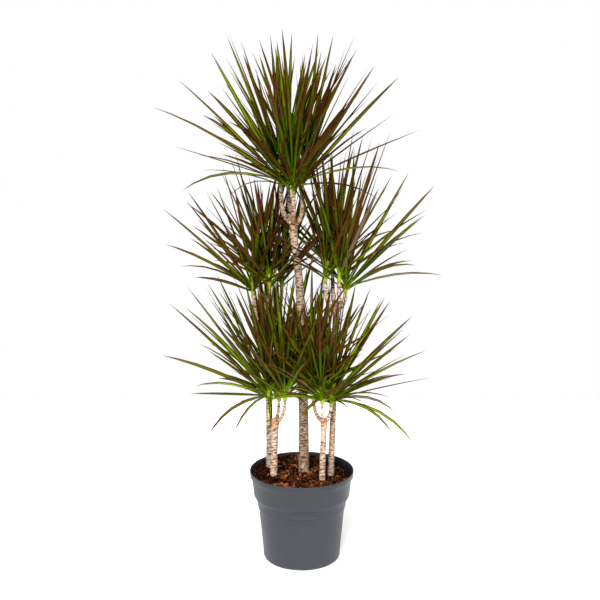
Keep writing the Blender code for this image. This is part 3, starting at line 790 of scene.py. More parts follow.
def pot_profile():
    """The pot's section as (radius, height): up the inside, over the lip, down the stepped outside."""
    start = [(POLE_RADIUS, FLOOR_TOP), (0.0500, FLOOR_TOP), (0.1010, FLOOR_TOP)]
    heights = np.array([0.0180, 0.0500, 0.0810, 0.1300, 0.1790, 0.1975, 0.2300, 0.2550, 0.2700])
    inside = np.stack([inner_radius(heights), heights], -1)
    lip = arc((RIM_RADIUS - LIP_RADIUS, POT_HEIGHT - LIP_RADIUS), LIP_RADIUS, 170, 0, 9)
    skirt = [(0.15495, 0.2715), (0.1546, 0.2640), (0.1538, 0.2575), (0.1533, 0.2567), (0.1508, 0.2556)]
    band = [(0.1503, 0.2549), (0.1492, 0.2490), (0.1477, 0.2410), (0.1461, 0.2260), (0.1443, 0.2090)]
    step = [(0.1437, 0.2030), (0.1428, 0.1992), (0.1412, 0.1962), (0.1388, 0.1930), (0.1376, 0.1917)]
    first_ring = [(0.1370, 0.1902), (0.1362, 0.1880), (0.1355, 0.1846), (0.1353, 0.1837), (0.1346, 0.1834)]
    second_ring = [(0.1341, 0.1826), (0.1332, 0.1780), (0.1322, 0.1690), (0.1320, 0.1662), (0.1314, 0.1659)]
    third_ring = [(0.1308, 0.1651), (0.1300, 0.1600), (0.1292, 0.1560), (0.1290, 0.1551), (0.1285, 0.1548)]
    wall = [(0.1281, 0.1540), (0.1268, 0.1390), (0.1240, 0.1100), (0.1212, 0.0810), (0.1187, 0.0520)]
    foot = [(0.1168, 0.0320), (0.1160, 0.0210)]
    corner = arc((0.1030, CORNER_RADIUS), CORNER_RADIUS, 0, -90, 13)
    under = [(0.0995, 0.0), (0.0500, 0.0), (POLE_RADIUS, 0.0)]
    rings = np.vstack([first_ring, second_ring, third_ring])
    return np.vstack([start, inside, lip, skirt, band, step, rings, wall, foot, corner, under])


def make_pot():
    """The pot: its section turned about Z, with the bottom edge raised in each drainage notch.

    Each point of the section goes round a circle of its radius. The field inside holds how much painted shade
    there is: all of it on the inner wall, and in a groove its strength times a bell curve of the height.
    """
    section = pot_profile()
    order = np.arange(len(section))[:, None]
    on_outside = order > len(section) / 3
    on_lower_half = order > len(section) / 2
    around = np.arange(POT_STEPS) * 2 * math.pi / POT_STEPS
    radius = section[:, 0][:, None]
    height = np.repeat(section[:, 1][:, None], POT_STEPS, 1)
    apart = 2 * math.pi / NOTCH_COUNT
    off = (around - NOTCH_TURN + apart / 2) % apart - apart / 2
    inside_notch = np.clip((NOTCH_WIDTH / 2 - np.abs(off)[None, :] * radius) / NOTCH_SLOPE, 0, 1)
    raised = NOTCH_HEIGHT * inside_notch * (radius > NOTCH_INNER_RADIUS - NOTCH_MARGIN)
    height = np.where(on_lower_half, np.maximum(height, raised), height)
    points = np.stack([radius * np.cos(around), radius * np.sin(around), height], -1).reshape(-1, 3)
    faces = quads_of(len(section), POT_STEPS, True)[:, ::-1].tolist()
    faces.append(list(range(POT_STEPS)))
    faces.append(list(range(len(points) - POT_STEPS, len(points)))[::-1])
    piece = new_piece("nursery_pot", points, faces, pot_material(), ["pot"])
    # Painted shade, darkest on the inner wall and in each groove outside
    within_wall = np.clip((inner_radius(height) + SHADE_PAST_WALL - radius) / SHADE_WALL_FADE, 0, 1)
    shade = within_wall * np.clip((SHADE_TOP - height) / SHADE_TOP_FADE, 0, 1)
    for groove, half_width, strength in GROOVES:
        in_groove = strength * bell(height - groove, half_width)
        shade = np.maximum(shade, in_groove * on_outside)
    set_attributes(piece, inside=shade)


def soil_height(x, y):
    """The soil's height: level, sunk along the wall, heaped at the back left, low at the right, and lumpy.

    The heap grows towards the wall with the distance's share of the reach, and fades to either side with
    the cosine of the angle from its middle. The dip grows with the distance along its way. Lumps are
    noise of three cell sizes.
    """
    radius = np.hypot(x, y)
    edge = inner_radius(SOIL_TOP) - radius
    sunk = SOIL_EDGE_DROP * np.clip(1 - edge / SOIL_EDGE_WIDTH, 0, 1) ** SOIL_CURVE
    place = np.stack([x, y, 0 * x], -1)
    lumps = 0.0
    for seed, (high, cell) in enumerate(SOIL_LUMPS, 1):
        lumps = lumps + high * (lattice_noise(place, cell, seed) - 0.5)
    outwards = np.clip((radius / SOIL_REACH - HEAP_START) / HEAP_SLOPE, 0, 1) ** SOIL_CURVE
    turned = np.cos(np.arctan2(y, x) - SOIL_HEAP_TURN)
    heap = SOIL_HEAP * outwards * np.clip((turned + HEAP_SIDE) / HEAP_SIDE_SLOPE, 0, 1)
    along_dip = (DIP_WAY[0] * x + DIP_WAY[1] * y) / SOIL_REACH
    dip = SOIL_DIP * np.clip(along_dip - DIP_START, 0, DIP_SLOPE) / DIP_SLOPE
    return SOIL_TOP - sunk * (1 - heap / SOIL_HEAP) + lumps + heap - dip


def make_soil():
    """The soil: a lumpy round surface on a polar grid, with its edge turned down along the pot's wall.

    A ring's radius grows with the square root of its number, so that all rings have the same area.
    """
    outer = inner_radius(SOIL_TOP - SOIL_EDGE_DROP) - SOIL_FROM_WALL
    rings = np.sqrt(np.linspace(FIRST_RING_SHARE, 1, SOIL_RINGS))
    radii = outer * np.append(rings, SKIRT_SHARE)
    around = np.arange(SOIL_STEPS) * 2 * math.pi / SOIL_STEPS
    x = radii[:, None] * np.cos(around)
    y = radii[:, None] * np.sin(around)
    z = soil_height(x, y)
    z[-1] -= SOIL_SKIRT
    points = np.stack([x, y, z], -1).reshape(-1, 3)
    faces = quads_of(len(radii), SOIL_STEPS, True).tolist()
    faces.append(list(range(SOIL_STEPS))[::-1])
    new_piece("soil_surface", points, faces, soil_material(), ["soil"])


def make_crumbs():
    """Crumbs of peat and bark on the soil: squashed, jittered, turned octahedra in three colours."""
    rng = np.random.default_rng(CRUMB_SEED)
    outer = inner_radius(SOIL_TOP - SOIL_EDGE_DROP) - CRUMB_FROM_WALL
    radius = outer * np.sqrt(rng.random(CRUMB_COUNT))
    turn = rng.uniform(0, 2 * math.pi, CRUMB_COUNT)
    x = radius * np.cos(turn)
    y = radius * np.sin(turn)
    smallest, largest = CRUMB_SIZES
    size = smallest + (largest - smallest) * rng.random(CRUMB_COUNT) ** CRUMB_SMALLNESS
    corners = np.array([(1, 0, 0), (0, 1, 0), (-1, 0, 0), (0, -1, 0), (0, 0, 1), (0, 0, -1)], float)
    shape = corners * (size[:, None] * rng.uniform(*CRUMB_STRETCH, (CRUMB_COUNT, 3)))[:, None]
    shape += rng.uniform(-CRUMB_JITTER, CRUMB_JITTER, (CRUMB_COUNT, 6, 3)) * size[:, None, None]
    spin = np.linalg.qr(rng.normal(size=(CRUMB_COUNT, 3, 3)))[0]
    shape = np.einsum("nij,nkj->nki", spin, shape)
    centre = np.stack([x, y, soil_height(x, y) + size * CRUMB_LIFT], -1)
    points = centre[:, None] + shape
    sides = np.array([(0, 1, 4), (1, 2, 4), (2, 3, 4), (3, 0, 4), (1, 0, 5), (2, 1, 5), (3, 2, 5), (0, 3, 5)])
    dryness = lattice_noise(centre * (1, 1, 0), DRY_PATCH, DRY_SEED)
    kind = np.digitize(rng.random(CRUMB_COUNT) + CRUMB_DRYNESS * (dryness - 0.5), CRUMB_KINDS)
    for index, (name, colour) in enumerate(CRUMB_COLOURS.items()):
        chosen = points[kind == index]
        faces = (sides[None] + 6 * np.arange(len(chosen))[:, None, None]).reshape(-1, 3)
        material = plain_material(f"{name}_crumb", colour, *CRUMB_FINISH)
        piece = new_piece(f"soil_crumbs_{name}", chosen.reshape(-1, 3), faces, material)
        piece.data.shade_flat()


# Canes and boughs


def smooth_path(points, count):
    """A smooth line through points, read at even steps.

    Between two neighbours it is a cubic that passes each point along the line from the one before it to the
    one after it, at half that line's length.
    """
    p = np.array(points, float)
    ends = np.vstack([2 * p[0] - p[1], p, 2 * p[-1] - p[-2]])
    u = np.linspace(0, len(p) - 1, count)
    i = np.minimum(u.astype(int), len(p) - 2)
    f = (u - i)[:, None]
    a, b, c, d = ends[i], ends[i + 1], ends[i + 2], ends[i + 3]
    square = 2 * a - 5 * b + 4 * c - d
    cube = 3 * b - a - 3 * c + d
    return 0.5 * (2 * b + (c - a) * f + square * f**2 + cube * f**3)


def head_axis(cane, head):
    """The way a head's stem points: up, tilted a little away from the fork."""
    away = np.array(cane["heads"][head]) - np.array(cane["fork"])
    away[2] = 0.0
    return unit(unit(away) * AWAY_TILT + UP)


def bough_line(cane, head, count):
    """A bough's middle line: out of the fork, sideways first, then turning up into its head.

    It is the cubic that has the given ends and the given directions there, each with its own pull.
    """
    start = np.array(cane["fork"])
    end = np.array(cane["heads"][head])
    away = (end - start) * (1, 1, 0)
    span = np.linalg.norm(end - start)
    leave = unit(unit(away) * BOUGH_SPREAD + UP * BOUGH_RISE) * span * BOUGH_LEAVE_PULL
    arrive = head_axis(cane, head) * span * BOUGH_ARRIVE_PULL
    t = np.linspace(0, 1, count)[:, None]
    h00 = 2 * t**3 - 3 * t**2 + 1
    h10 = t**3 - 2 * t**2 + t
    h01 = -2 * t**3 + 3 * t**2
    h11 = t**3 - t**2
    return h00 * start + h10 * leave + h01 * end + h11 * arrive


def cane_radius(cane, height, full):
    """A cane's radius at a height above the soil: flared at the foot, tapered, swollen under the fork.

    It runs evenly from the foot's radius to the fork's, times one plus a flare that dies away up from the
    soil and a swelling that dies away down from the fork, both exponentially.
    """
    low, high = cane["radii"]
    flare = (FOOT_FLARE - 1) * np.exp(-height / FLARE_HEIGHT)
    swell = (FORK_SWELL - 1) * np.exp(-np.abs(full - height) / SWELL_HEIGHT)
    return (low + (high - low) * np.clip(height / full, 0, 1)) * (1 + flare + swell)


def along(line, step):
    """A line read again at even steps of length: its points and their distances from the start."""
    reach = np.concatenate([[0], np.cumsum(np.linalg.norm(np.diff(line, axis=0), axis=1))])
    s = np.linspace(0, reach[-1], max(3, int(reach[-1] / step) + 1))
    return np.stack([np.interp(s, reach, line[:, i]) for i in range(3)], -1), s


def leaf_scars(s, angle, radius, seed):
    """How strongly each point of a limb lies in a leaf scar and on the painted-highlight lip below one, from
    0 to 1.

    Scar k is a crescent at distance k pitches, more or less, and angle k golden turns. A pitch gives each
    scar the same area of bark. Along the limb a scar fades as a bell curve of its width. Round the limb it
    fades more squarely, with the fourth power of the angle in half-lengths, and its ends rise with the
    square of the angle. The strongest scar near a point counts.
    """
    rng = np.random.default_rng(seed)
    pitch = SCAR_AREA / (2 * math.pi * radius)
    count = int(s[-1] / pitch) + 2 * SCAR_REACH + 2
    place = (np.arange(count) - SCAR_REACH) * pitch + SCAR_JITTER * rng.uniform(-1, 1, count)
    turn = np.arange(count) * GOLDEN_TURN + rng.uniform(-SCAR_TURN_JITTER, SCAR_TURN_JITTER, count)
    half_turn = rng.uniform(*SCAR_HALF_LENGTH, count) / radius
    width = rng.uniform(*SCAR_WIDTH, count)
    strength = np.clip(rng.normal(*SCAR_STRENGTH, count), 0, MOST_SCAR_STRENGTH)
    nearest = np.round(s / pitch).astype(int) + SCAR_REACH
    scar = np.zeros((len(s), len(angle)))
    lip = np.zeros((len(s), len(angle)))
    for step in range(-SCAR_REACH, SCAR_REACH + 1):
        k = np.clip(nearest + step, 0, count - 1)
        off_turn = (angle[None] - turn[k][:, None] + math.pi) % (2 * math.pi) - math.pi
        side = np.exp(-((off_turn / half_turn[k][:, None]) ** 4)) * strength[k][:, None]
        off = s[:, None] - place[k][:, None] - SCAR_BEND * off_turn**2
        scar = np.maximum(scar, side * bell(off, width[k][:, None]))
        lip = np.maximum(lip, side * bell(off + SCAR_LIP_BELOW, SCAR_LIP_WIDTH))
    return np.clip(scar, 0, 1), np.clip(lip, 0, 1)


def patches_on(points, seed, cell, gain, offset, least, most):
    """Patches on a surface: noise times a gain, less an offset, held between a least and a most."""
    return np.clip(gain * lattice_noise(points, cell, seed) - offset, least, most)


def bark_surface(line, s, radii, seed, sides):
    """A limb's surface: a circle carried along a line, with relief.

    The radius at distance s and angle a is the limb's own radius, less a groove in each leaf scar, plus
    the scar's raised lip and two sizes of lumps. Returns the points, their straightened places, and how
    strongly each lies in a scar and on a lip.
    """
    angle = np.arange(sides) * 2 * math.pi / sides
    ring = np.stack([np.cos(angle), np.sin(angle)], -1)
    circle = np.broadcast_to(ring[None] * radii[:, None, None], (len(s), sides, 2))
    straight = np.concatenate([circle, np.broadcast_to(s[:, None, None], (len(s), sides, 1))], -1)
    # Each limb reads another part of the noise, so no two are alike
    straight = straight + (seed % NOISE_SHIFTS) * NOISE_SHIFT
    scar, lip = leaf_scars(s, angle, float(np.median(radii)), seed)
    scar = np.clip(scar * patches_on(straight, seed + 3, *CROWDED_SCARS), 0, 1)
    lumps = (lattice_noise(straight, LUMP_CELLS[0], seed + 1) - 0.5) * 2
    lumps = lumps + (lattice_noise(straight, LUMP_CELLS[1], seed + 2) - 0.5)
    relief = SCAR_DEPTH * (SCAR_LIP_SHARE * lip - scar) + BARK_LUMPS * lumps
    tangent = unit(np.gradient(line, axis=0))
    first, second = square_to(tangent)
    wide = radii[:, None] + relief * np.clip(radii / THIN_LIMB, 0, 1)[:, None]
    out = ring[None, :, :1] * first[:, None] + ring[None, :, 1:] * second[:, None]
    return line[:, None] + out * wide[..., None], straight, scar, lip


def limb_faces(rows, sides):
    """A limb's faces with a cap at either end."""
    faces = quads_of(rows, sides, True).tolist()
    faces.append(list(range(sides))[::-1])
    faces.append(list(range((rows - 1) * sides, rows * sides)))
    return faces


def make_cane(name, cane, seed, material):
    """One cane from its foot in the soil to its knobbly fork, which closes as a dome.

    The dome's radius falls with the square root of one less the square of the share of its height. The bark
    is mottled grey low down, with old blotches all the way up, and patchy orange round the fork.
    """
    foot = np.array([*cane["foot"], SOIL_TOP + GAP])
    path = smooth_path([foot + UP * UPRIGHT_FOOT, *cane["bends"], cane["fork"]], CANE_STEPS)
    rise = cane["radii"][1] * FORK_SWELL * KNOB_WIDTH_SHARE * KNOB_HEIGHT_SHARE
    path = np.vstack([foot - UP * BURIED, foot, path, path[-1] + UP * rise])
    line, s = along(path, BARK_STEP)
    height = line[:, 2] - foot[2]
    full = cane["fork"][2] - foot[2]
    radii = cane_radius(cane, np.maximum(height, 0), full)
    dome = np.clip((height - full + DOME_START) / (rise + DOME_START), 0, 1)
    radii = radii * np.sqrt(np.maximum(1 - dome**2, DOME_LEAST))
    points, straight, scar, lip = bark_surface(line, s, radii, seed, BARK_SIDES)
    faces = limb_faces(len(s), BARK_SIDES)
    piece = new_piece(f"bark_{name}", points.reshape(-1, 3), faces, material, [f"cane_{name}"])
    old = cane["grey"] * np.clip((GREY_TOP - height) / GREY_FADE, GREY_LEAST, 1)
    mottled = GREY_LEVEL + GREY_MOTTLING * lattice_noise(straight, GREY_CELL, seed + 7)
    blotches = BLOTCH_STRENGTH * patches_on(straight, seed + 9, *BLOTCHES)
    weather = np.clip(old[:, None] * mottled + blotches, 0, 1)
    near_fork = bell(height - full, FORK_REACH)[:, None]
    knob = near_fork * patches_on(straight, seed + 7, *CANE_FORK_PATCHES)
    set_attributes(piece, bark_place=straight, scar=scar, lip=lip, weather=weather, knob=knob)


def make_boughs(name, cane, seed, material):
    """A cane's boughs, joined: each a tapering limb that bends out of the fork and up into its head.

    Near the fork a bough is swollen, patchy orange, and creased where it leaves its neighbours.
    """
    thick = BOUGH_RADII[0] * (LOW_BOUGH_SHARE if name.startswith("low") else 1.0)
    narrowing = 1 - BOUGH_RADII[1] / BOUGH_RADII[0]
    surfaces = []
    faces = []
    fields = {"bark_place": [], "scar": [], "lip": [], "knob": []}
    count = 0
    for number, head in enumerate(cane["heads"]):
        line, s = along(bough_line(cane, head, BOUGH_STEPS), BARK_STEP)
        share = s / s[-1]
        swell = 1 + BOUGH_SWELL * np.exp(-share / BOUGH_SWELL_FADE)
        radii = thick * swell * (1 - narrowing * share)
        points, straight, scar, lip = bark_surface(line, s, radii, seed + 11 * number, BOUGH_SIDES)
        near_fork = bell(share, BOUGH_FORK_REACH)[:, None]
        at_crease = bell(share - CREASE_PLACE, CREASE_WIDTH)[:, None]
        crease = at_crease * patches_on(straight, seed + 7, *CREASE_PATCHES)
        surfaces.append(points.reshape(-1, 3))
        faces += [[v + count for v in face] for face in limb_faces(len(s), BOUGH_SIDES)]
        count += len(surfaces[-1])
        fields["bark_place"].append(straight)
        fields["scar"].append(np.maximum(scar, crease))
        fields["lip"].append(lip)
        fields["knob"].append(near_fork * patches_on(straight, seed + 7, *BOUGH_FORK_PATCHES))
    nodes = [f"bough_{name}_{head}" for head in cane["heads"]]
    piece = new_piece(f"boughs_{name}", np.vstack(surfaces), faces, material, nodes)
    joined = {field: np.concatenate(values) for field, values in fields.items()}
    set_attributes(piece, **joined, weather=np.zeros(count))


# Leaves


def leaf_line(foot, begin, sag, length):
    """The middle lines of leaves: from each foot along its first direction, sagging towards the tip.

    The way of each step is the first direction, less up times twice the sag times a power of the share of
    the length so far. The steps are equally long.
    """
    u = (np.arange(SPINE_STEPS) + 0.5) / SPINE_STEPS
    way = begin[:, None] - 2 * sag[:, None, None] * (u**SAG_POWER)[None, :, None] * UP
    steps = np.cumsum(unit(way) * (length / SPINE_STEPS)[:, None, None], 1)
    return np.concatenate([foot[:, None], foot[:, None] + steps], 1)


def is_there(cane, begin, seed):
    """Which of the rule's leaves are there: by chance, as often as the cane is full where they point."""
    direction = np.degrees(np.arctan2(begin[:, 0], begin[:, 2]))
    share = np.interp(direction, SEEN_DIRECTIONS, cane["fullness"])
    return np.random.default_rng(seed + 500).random(len(begin)) < share


def is_clear(lines):
    """Which leaves hide none of the places in sight: from the camera, none of their points crosses one."""
    eye = np.array([0.0, -CAMERA_DISTANCE, CAMERA_HEIGHT])
    clear = np.ones(len(lines), bool)
    for middle, radius in IN_SIGHT:
        middle = np.array(middle)
        ray = lines - eye
        reach = (middle[1] - eye[1]) / ray[..., 1]
        off = eye + ray * reach[..., None] - middle
        clear &= ~((np.linalg.norm(off, axis=2) < radius) & (reach > 1)).any(1)
    return clear


def rule_leaves(cane, head, seed):
    """A head's leaves by the rule, youngest first: lines, sides, rolls and ages.

    Leaf i stands a golden turn on from leaf i - 1. With age it leans further from the stem, sags more and
    is shorter, and the oldest few hang.
    """
    rng = np.random.default_rng(seed)
    turn = rng.uniform(0, 2 * math.pi) + GOLDEN_TURN * np.arange(LEAF_COUNT)
    chance = rng.uniform(-1, 1, (LEAF_COUNT, 4))
    age = (np.arange(LEAF_COUNT) + 0.5) / LEAF_COUNT
    axis = head_axis(cane, head)
    first, second = square_to(axis)
    out = np.outer(np.cos(turn), first) + np.outer(np.sin(turn), second)
    grown = np.minimum(1, age / (1 - HANG_SHARE))
    hang = np.maximum(0, (age - (1 - HANG_SHARE)) / HANG_SHARE)
    old = LEAN_OLD + cane["lean"]
    lean = LEAN_YOUNG + (old - LEAN_YOUNG) * grown**LEAN_POWER + hang * HANG_LEAN + chance[:, 0] * LEAN_SPREAD
    lean = np.radians(lean)[:, None]
    sag = (SAG_YOUNG + (SAG_OLD - SAG_YOUNG) * grown**2 + hang * HANG_SAG) * (1 + SAG_VARIES * chance[:, 1])
    length = cane["leaf"] * (SHORTEST + (1 - SHORTEST) * (0.5 + 0.5 * chance[:, 2]))
    unfolding = BUD_LENGTH + (1 - BUD_LENGTH) * np.minimum(1, age / BUD_AGE)
    length = length * unfolding * (1 - OLD_SHORTER * age**2)
    height = STEM_LENGTH * (LOWEST_ROOT + (HIGHEST_ROOT - LOWEST_ROOT) * (1 - age))
    foot = np.array(cane["heads"][head]) + np.outer(height, axis) + out * ROOT_OFFSET
    begin = np.cos(lean) * axis + np.sin(lean) * out
    lines = leaf_line(foot, begin, sag, length)
    there = is_there(cane, begin, seed) & is_clear(lines)
    return lines[there], np.cross(axis, out)[there], chance[there, 3], age[there]


def single_leaves(name, head):
    """The leaves that stand out of a head by themselves, in the same form as those of the rule.

    Those that point to the left or right are rolled so that their upper face looks forwards.
    """
    rolled = SINGLE_LEAVES.get((name, head), ())
    upright = UPRIGHT_LEAVES.get((name, head), ())
    rows = np.array(rolled + upright, float).reshape(-1, 4)
    turn, lean, sag, length = rows.T
    turn = np.radians(turn)
    lean = np.radians(lean)[:, None]
    out = np.stack([np.cos(turn), np.sin(turn), 0 * turn], -1)
    begin = np.cos(lean) * UP + np.sin(lean) * out
    foot = np.array(CANES[name]["heads"][head]) + UP * STEM_LENGTH * SINGLE_ROOT + out * ROOT_OFFSET
    rolls = -SINGLE_ROLL * np.cos(turn) * (np.arange(len(rows)) < len(rolled))
    return leaf_line(foot, begin, sag, length), np.cross(UP, out), rolls, np.ones(len(rows))


def blade_points(lines, sides, rolls, ages, rng):
    """Sword blades along middle lines, as points (leaf, station, column, 3).

    Columns 0 to 5 cross the upper face: edge, end of the stripe, end of the streak, and the same again on
    the other half. Columns 6 to 8 cross the under face back: end of the stripe, middle, end of the
    stripe. A point lies at its share of the half-width from the middle line, and the fold raises it by a
    share of that distance, into a shallow channel. Each blade has its own width, twist and slight bend to
    one side.
    """
    count = len(lines)
    place = STATIONS * SPINE_STEPS
    low = np.minimum(place.astype(int), SPINE_STEPS - 1)
    part = (place - low)[None, :, None]
    middle = lines[:, low] * (1 - part) + lines[:, low + 1] * part
    length = np.linalg.norm(np.diff(lines, axis=1), axis=2).sum(1)
    bend = rng.uniform(-1, 1, count) * MOST_SIDE_BEND * length
    middle = middle + sides[:, None] * (bend[:, None] * STATIONS**2)[..., None]
    tangent = unit(np.gradient(middle, axis=1))
    across = unit(sides[:, None] - tangent * (sides[:, None] * tangent).sum(2, keepdims=True))
    below = np.cross(across, tangent)
    turn = (rolls * MOST_ROLL)[:, None] + (rng.uniform(-1, 1, count) * MOST_TWIST)[:, None] * STATIONS
    turn = turn[..., None]
    wide = across * np.cos(turn) + below * np.sin(turn)
    upper = np.cross(tangent, wide)
    width = rng.uniform(*LEAF_WIDTH, count) * np.clip(length / FULL_WIDTH_LENGTH, LEAST_WIDTH_SHARE, 1)
    width = width * np.where(ages == 1.0, SINGLE_WIDTH, 1.0) * np.where(length < SHORT_LEAF, SHORT_WIDTH, 1.0)
    width = np.minimum(width, MOST_WIDTH_SHARE * length)
    half = (0.5 * width[:, None] * WIDTHS)[..., None]
    share = rng.uniform(*STRIPE_VARIES, count)[:, None]
    stripe = np.clip(STRIPES * share, *STRIPE_LIMITS)[..., None]
    streak = (STREAKS * share)[..., None]
    fold = (FOLDS[None] * rng.uniform(*FOLD_VARIES, count)[:, None])[..., None]
    thick = BLADE_THICKNESS * (WIDTHS[None, :, None] + LEAST_THICKNESS_SHARE)
    over = ((-1, 0), (-stripe, 0), (-streak, 0), (streak, 0), (stripe, 0), (1, 0))
    under = ((stripe, UNDERSIDE_RISE), (0, 1), (-stripe, UNDERSIDE_RISE))
    columns = []
    for out, down in over + under:
        columns.append(middle + wide * half * out + upper * (half * fold * np.abs(out) - thick * down))
    return np.stack(columns, 2)


def paint(colours, leaves, segments, strips, name):
    """Give the chosen leaves one colour on some segments along them and some strips across them."""
    colours[np.ix_(leaves, segments, strips)] = LEAF_NAMES.index(name)


def run_along(run, tone, place):
    """How far on in the run of colours each leaf is at each place along it.

    A run has a start, what tone adds to it, what is added up to the tip, and what tone adds to that.
    """
    start, by_tone, onwards, onwards_by_tone = run
    return start + by_tone * tone + place * (onwards + onwards_by_tone * tone)


def blade_colours(ages, typical_tone, rng):
    """The colour of each face of each blade, as (leaf, segment, strip), dealt out leaf by leaf.

    Each leaf has a tone from 0, fresh green, to 1, maroon. Along a strip the colour runs from lime over
    bright green and green to olive, brown and burgundy, the sooner the higher the tone. The streak stays
    green much further than the stripes beside it, and the edges are burgundy or maroon. Some leaves are
    maroon all over but for a green base and streak. Most young leaves, which stand inside the head, get
    painted shade near their base, and a few leaves get a painted sheen or have a pale back.
    """
    count = len(ages)
    chance = typical_tone + TONE_BY_AGE * (ages - 0.5) + rng.normal(0, TONE_VARIES, count)
    tone = np.clip(chance, 0, 1)[:, None]
    middle = 0.5 * (STATIONS[1:] + STATIONS[:-1])
    tip = len(middle)
    streak = run_along(STREAK_RUN, tone, middle)
    stripe = run_along(STRIPE_RUN, tone, middle)
    under = 0.5 * (streak + stripe)
    colours = np.empty((count, tip, BLADE_COLUMNS), int)
    for strip, steps in ((2, streak), (1, stripe), (3, stripe), (6, under), (7, stripe)):
        shift = rng.uniform(-RUN_VARIES, RUN_VARIES, count)[:, None]
        colours[:, :, strip] = np.round(np.clip(steps + shift, 0, LAST_OF_RUN)).astype(int)
    burgundy = rng.random(count) < BURGUNDY_CHANCE
    paint(colours, burgundy, np.arange(tip), EDGE_STRIPS, "burgundy_edge")
    paint(colours, ~burgundy, np.arange(tip), EDGE_STRIPS, "maroon_blade")
    colours[:, 0] = np.round(np.clip(BASE_BY_TONE * (tone - BASE_TONE), 0, BASE_LIMIT)).astype(int)
    colours[:, 1, STRIPE_STRIPS] = np.round(LOW_STRIPE + LOW_BY_TONE * tone).astype(int)
    colours[:, 1, STREAK_STRIP] = np.round(LOW_BY_TONE * tone).astype(int)
    paint(colours, tone[:, 0] < FRESH_TONE, [1, 2], EDGE_STRIPS, "green_stripe")
    maroon = rng.random(count) < MAROON_CHANCE * typical_tone**2
    paint(colours, maroon, np.arange(3, tip), STRIPE_STRIPS, "maroon_blade")
    paint(colours, maroon, [1, 2, 3], STREAK_STRIP, "green_stripe")
    paint(colours, maroon, np.arange(4, tip), STREAK_STRIP, "olive_stripe")
    paint(colours, maroon, [2], STRIPE_STRIPS, "brown_stripe")
    paint(colours, maroon, [1], STRIPE_STRIPS, "green_stripe")
    outer = [0, 1, 3, 4, 5, 8]
    central = STREAK_STRIP + UNDER_STRIPS
    # Painted shade: most inner leaves are painted dark near their base, the innermost darker still
    inner = (ages < INNER_AGE) & (rng.random(count) < SHADE_CHANCE)
    paint(colours, inner, [1, 2], outer, "deep_shade")
    paint(colours, inner, [1, 2, 3], central, "green_stripe")
    innermost = inner & (rng.random(count) < DEEP_SHADE_CHANCE)
    paint(colours, innermost, [1], central, "deep_shade")
    paint(colours, innermost, [2], central, "painted_half_shade")
    paint(colours, innermost, [3], outer, "painted_half_shade")
    # A painted sheen on the streak of a few leaves
    paint(colours, rng.random(count) < SHEEN_CHANCE, [2, 3, 4], STREAK_STRIP, "painted_sheen")
    paint(colours, rng.random(count) < PALE_BACK_CHANCE, np.arange(1, tip), UNDER_STRIPS, "pale_back")
    return colours


def blade_faces(count):
    """The faces of blades as (leaf, segment, strip, 4): five strips over and four under."""
    strips = np.stack([np.arange(BLADE_COLUMNS), (np.arange(BLADE_COLUMNS) + 1) % BLADE_COLUMNS], -1)
    rows = len(STATIONS)
    base = (np.arange(count)[:, None] * rows + np.arange(rows - 1)) * BLADE_COLUMNS
    a = base[..., None] + strips[:, 0]
    b = base[..., None] + strips[:, 1]
    return np.stack([a, b, b + BLADE_COLUMNS, a + BLADE_COLUMNS], -1)


def make_foliage(name, cane, first_seed, materials):
    """A cane's heads of leaves: all its leaves, joined into one piece for each colour."""
    rng = np.random.default_rng(first_seed + 1000)
    sets = []
    for number, head in enumerate(cane["heads"]):
        sets.append(rule_leaves(cane, head, first_seed + number))
        sets.append(single_leaves(name, head))
    lines, sides, rolls, ages = (np.concatenate(group) for group in zip(*sets))
    points = blade_points(lines, sides, rolls, ages, rng)
    colours = blade_colours(ages, cane["tone"], rng)
    faces = blade_faces(len(lines))
    flat_points = points.reshape(-1, 3)
    nodes = [f"leaves_{name}_{head}" for head in cane["heads"]]
    for index, colour in enumerate(LEAF_NAMES):
        chosen = faces[colours == index]
        if not len(chosen):
            continue
        used, again = np.unique(chosen, return_inverse=True)
        quads = again.reshape(-1, 4)
        stands_for = nodes if colour == "green_stripe" else ()
        new_piece(f"leaves_{name}_{colour}", flat_points[used], quads, materials[colour], stands_for)


def make_head_stems(material):
    """The short green stem inside each head that the leaves' bases clasp: it bulges and then narrows."""
    share = np.linspace(0, 1, STEM_RINGS)
    radius = STEM_RADIUS * np.interp(share, STEM_PLACES, STEM_SHARES)
    angle = np.arange(STEM_SIDES) * 2 * math.pi / STEM_SIDES
    points = []
    for cane in CANES.values():
        for head, foot in cane["heads"].items():
            axis = head_axis(cane, head)
            first, second = square_to(axis)
            ring = np.cos(angle)[:, None] * first + np.sin(angle)[:, None] * second
            middle = np.array(foot) - axis * GAP + share[:, None] * axis * STEM_LENGTH
            points.append((middle[:, None] + ring * radius[:, None, None]).reshape(-1, 3))
    faces = limb_faces(STEM_RINGS, STEM_SIDES)
    each = STEM_RINGS * STEM_SIDES
    all_faces = [[v + i * each for v in face] for i in range(len(points)) for face in faces]
    new_piece("head_stems", np.vstack(points), all_faces, material)


# Studio


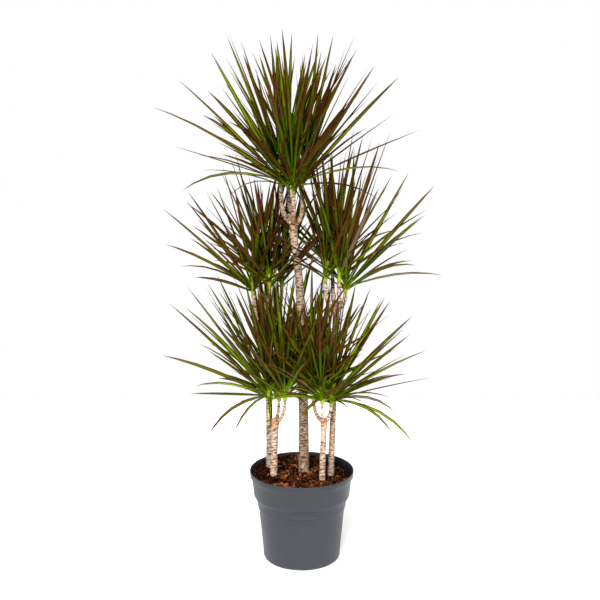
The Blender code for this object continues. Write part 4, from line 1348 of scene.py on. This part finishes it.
def make_studio():
    """A plain pale floor that glows a little, a white surround, and three soft lights."""
    w = FLOOR_HALF_WIDTH
    mesh = bpy.data.meshes.new("floor")
    mesh.from_pydata([(-w, -w, 0), (w, -w, 0), (w, w, 0), (-w, w, 0)], [], [(0, 1, 2, 3)])
    pale = plain_material("pale_floor", (FLOOR_GREY, FLOOR_GREY, FLOOR_GREY), FLOOR_ROUGHNESS)
    shader = pale.node_tree.nodes["Principled BSDF"]
    shader.inputs["Emission Color"].default_value = (1.0, 1.0, 1.0, 1.0)
    shader.inputs["Emission Strength"].default_value = FLOOR_GLOW
    mesh.materials.append(pale)
    floor = bpy.data.objects.new("floor", mesh)
    bpy.context.scene.collection.objects.link(floor)
    world = bpy.data.worlds.new("white_surround")
    bpy.context.scene.world = world
    world.use_nodes = True
    tree = world.node_tree
    background = tree.nodes["Background"]
    background.inputs["Color"].default_value = (1.0, 1.0, 1.0, 1.0)
    seen = add_node(tree, "ShaderNodeLightPath").outputs["Is Camera Ray"]
    strength = add_node(tree, "ShaderNodeMapRange", {"Value": seen, "To Min": SURROUND_LIGHT, "To Max": 1.0})
    tree.links.new(strength.outputs[0], background.inputs["Strength"])
    for name, turn, height, strength, softness in SUNS:
        lamp = bpy.data.lights.new(name, "SUN")
        lamp.energy = strength
        lamp.angle = math.radians(softness)
        light = bpy.data.objects.new(name, lamp)
        light.rotation_euler = (math.pi / 2 - math.radians(height), 0.0, math.radians(turn))
        bpy.context.scene.collection.objects.link(light)


def make_camera():
    """The camera at the photograph's place."""
    lens = bpy.data.cameras.new("camera")
    lens.lens = CAMERA_LENS
    lens.sensor_width = SENSOR_WIDTH
    lens.clip_end = CAMERA_REACH
    camera = bpy.data.objects.new("camera", lens)
    camera.location = (0.0, -CAMERA_DISTANCE, CAMERA_HEIGHT)
    camera.rotation_euler = (math.pi / 2 - CAMERA_TILT, 0.0, CAMERA_TURN)
    bpy.context.scene.collection.objects.link(camera)
    bpy.context.scene.camera = camera
    bpy.context.scene.view_settings.view_transform = "Standard"


def main():
    """Make the studio, then the pot and soil, the canes and boughs, and the leaves."""
    make_camera()
    make_studio()
    make_pot()
    make_soil()
    make_crumbs()
    bark = bark_material("cane_bark", *CANE_BARK)
    young = bark_material("bough_bark", *BOUGH_BARK)
    leaves = {}
    for name, colour in LEAF_COLOURS.items():
        leaves[name] = plain_material(name, colour, *LEAF_FINISH)
    heads_before = 0
    for name, cane in CANES.items():
        seed = SEEDS[name] + heads_before
        make_cane(name, cane, seed, bark)
        make_boughs(name, cane, seed, young)
        make_foliage(name, cane, seed, leaves)
        heads_before += len(cane["heads"])
    make_head_stems(plain_material("stem_green", STEM_GREEN, *STEM_FINISH))


main()
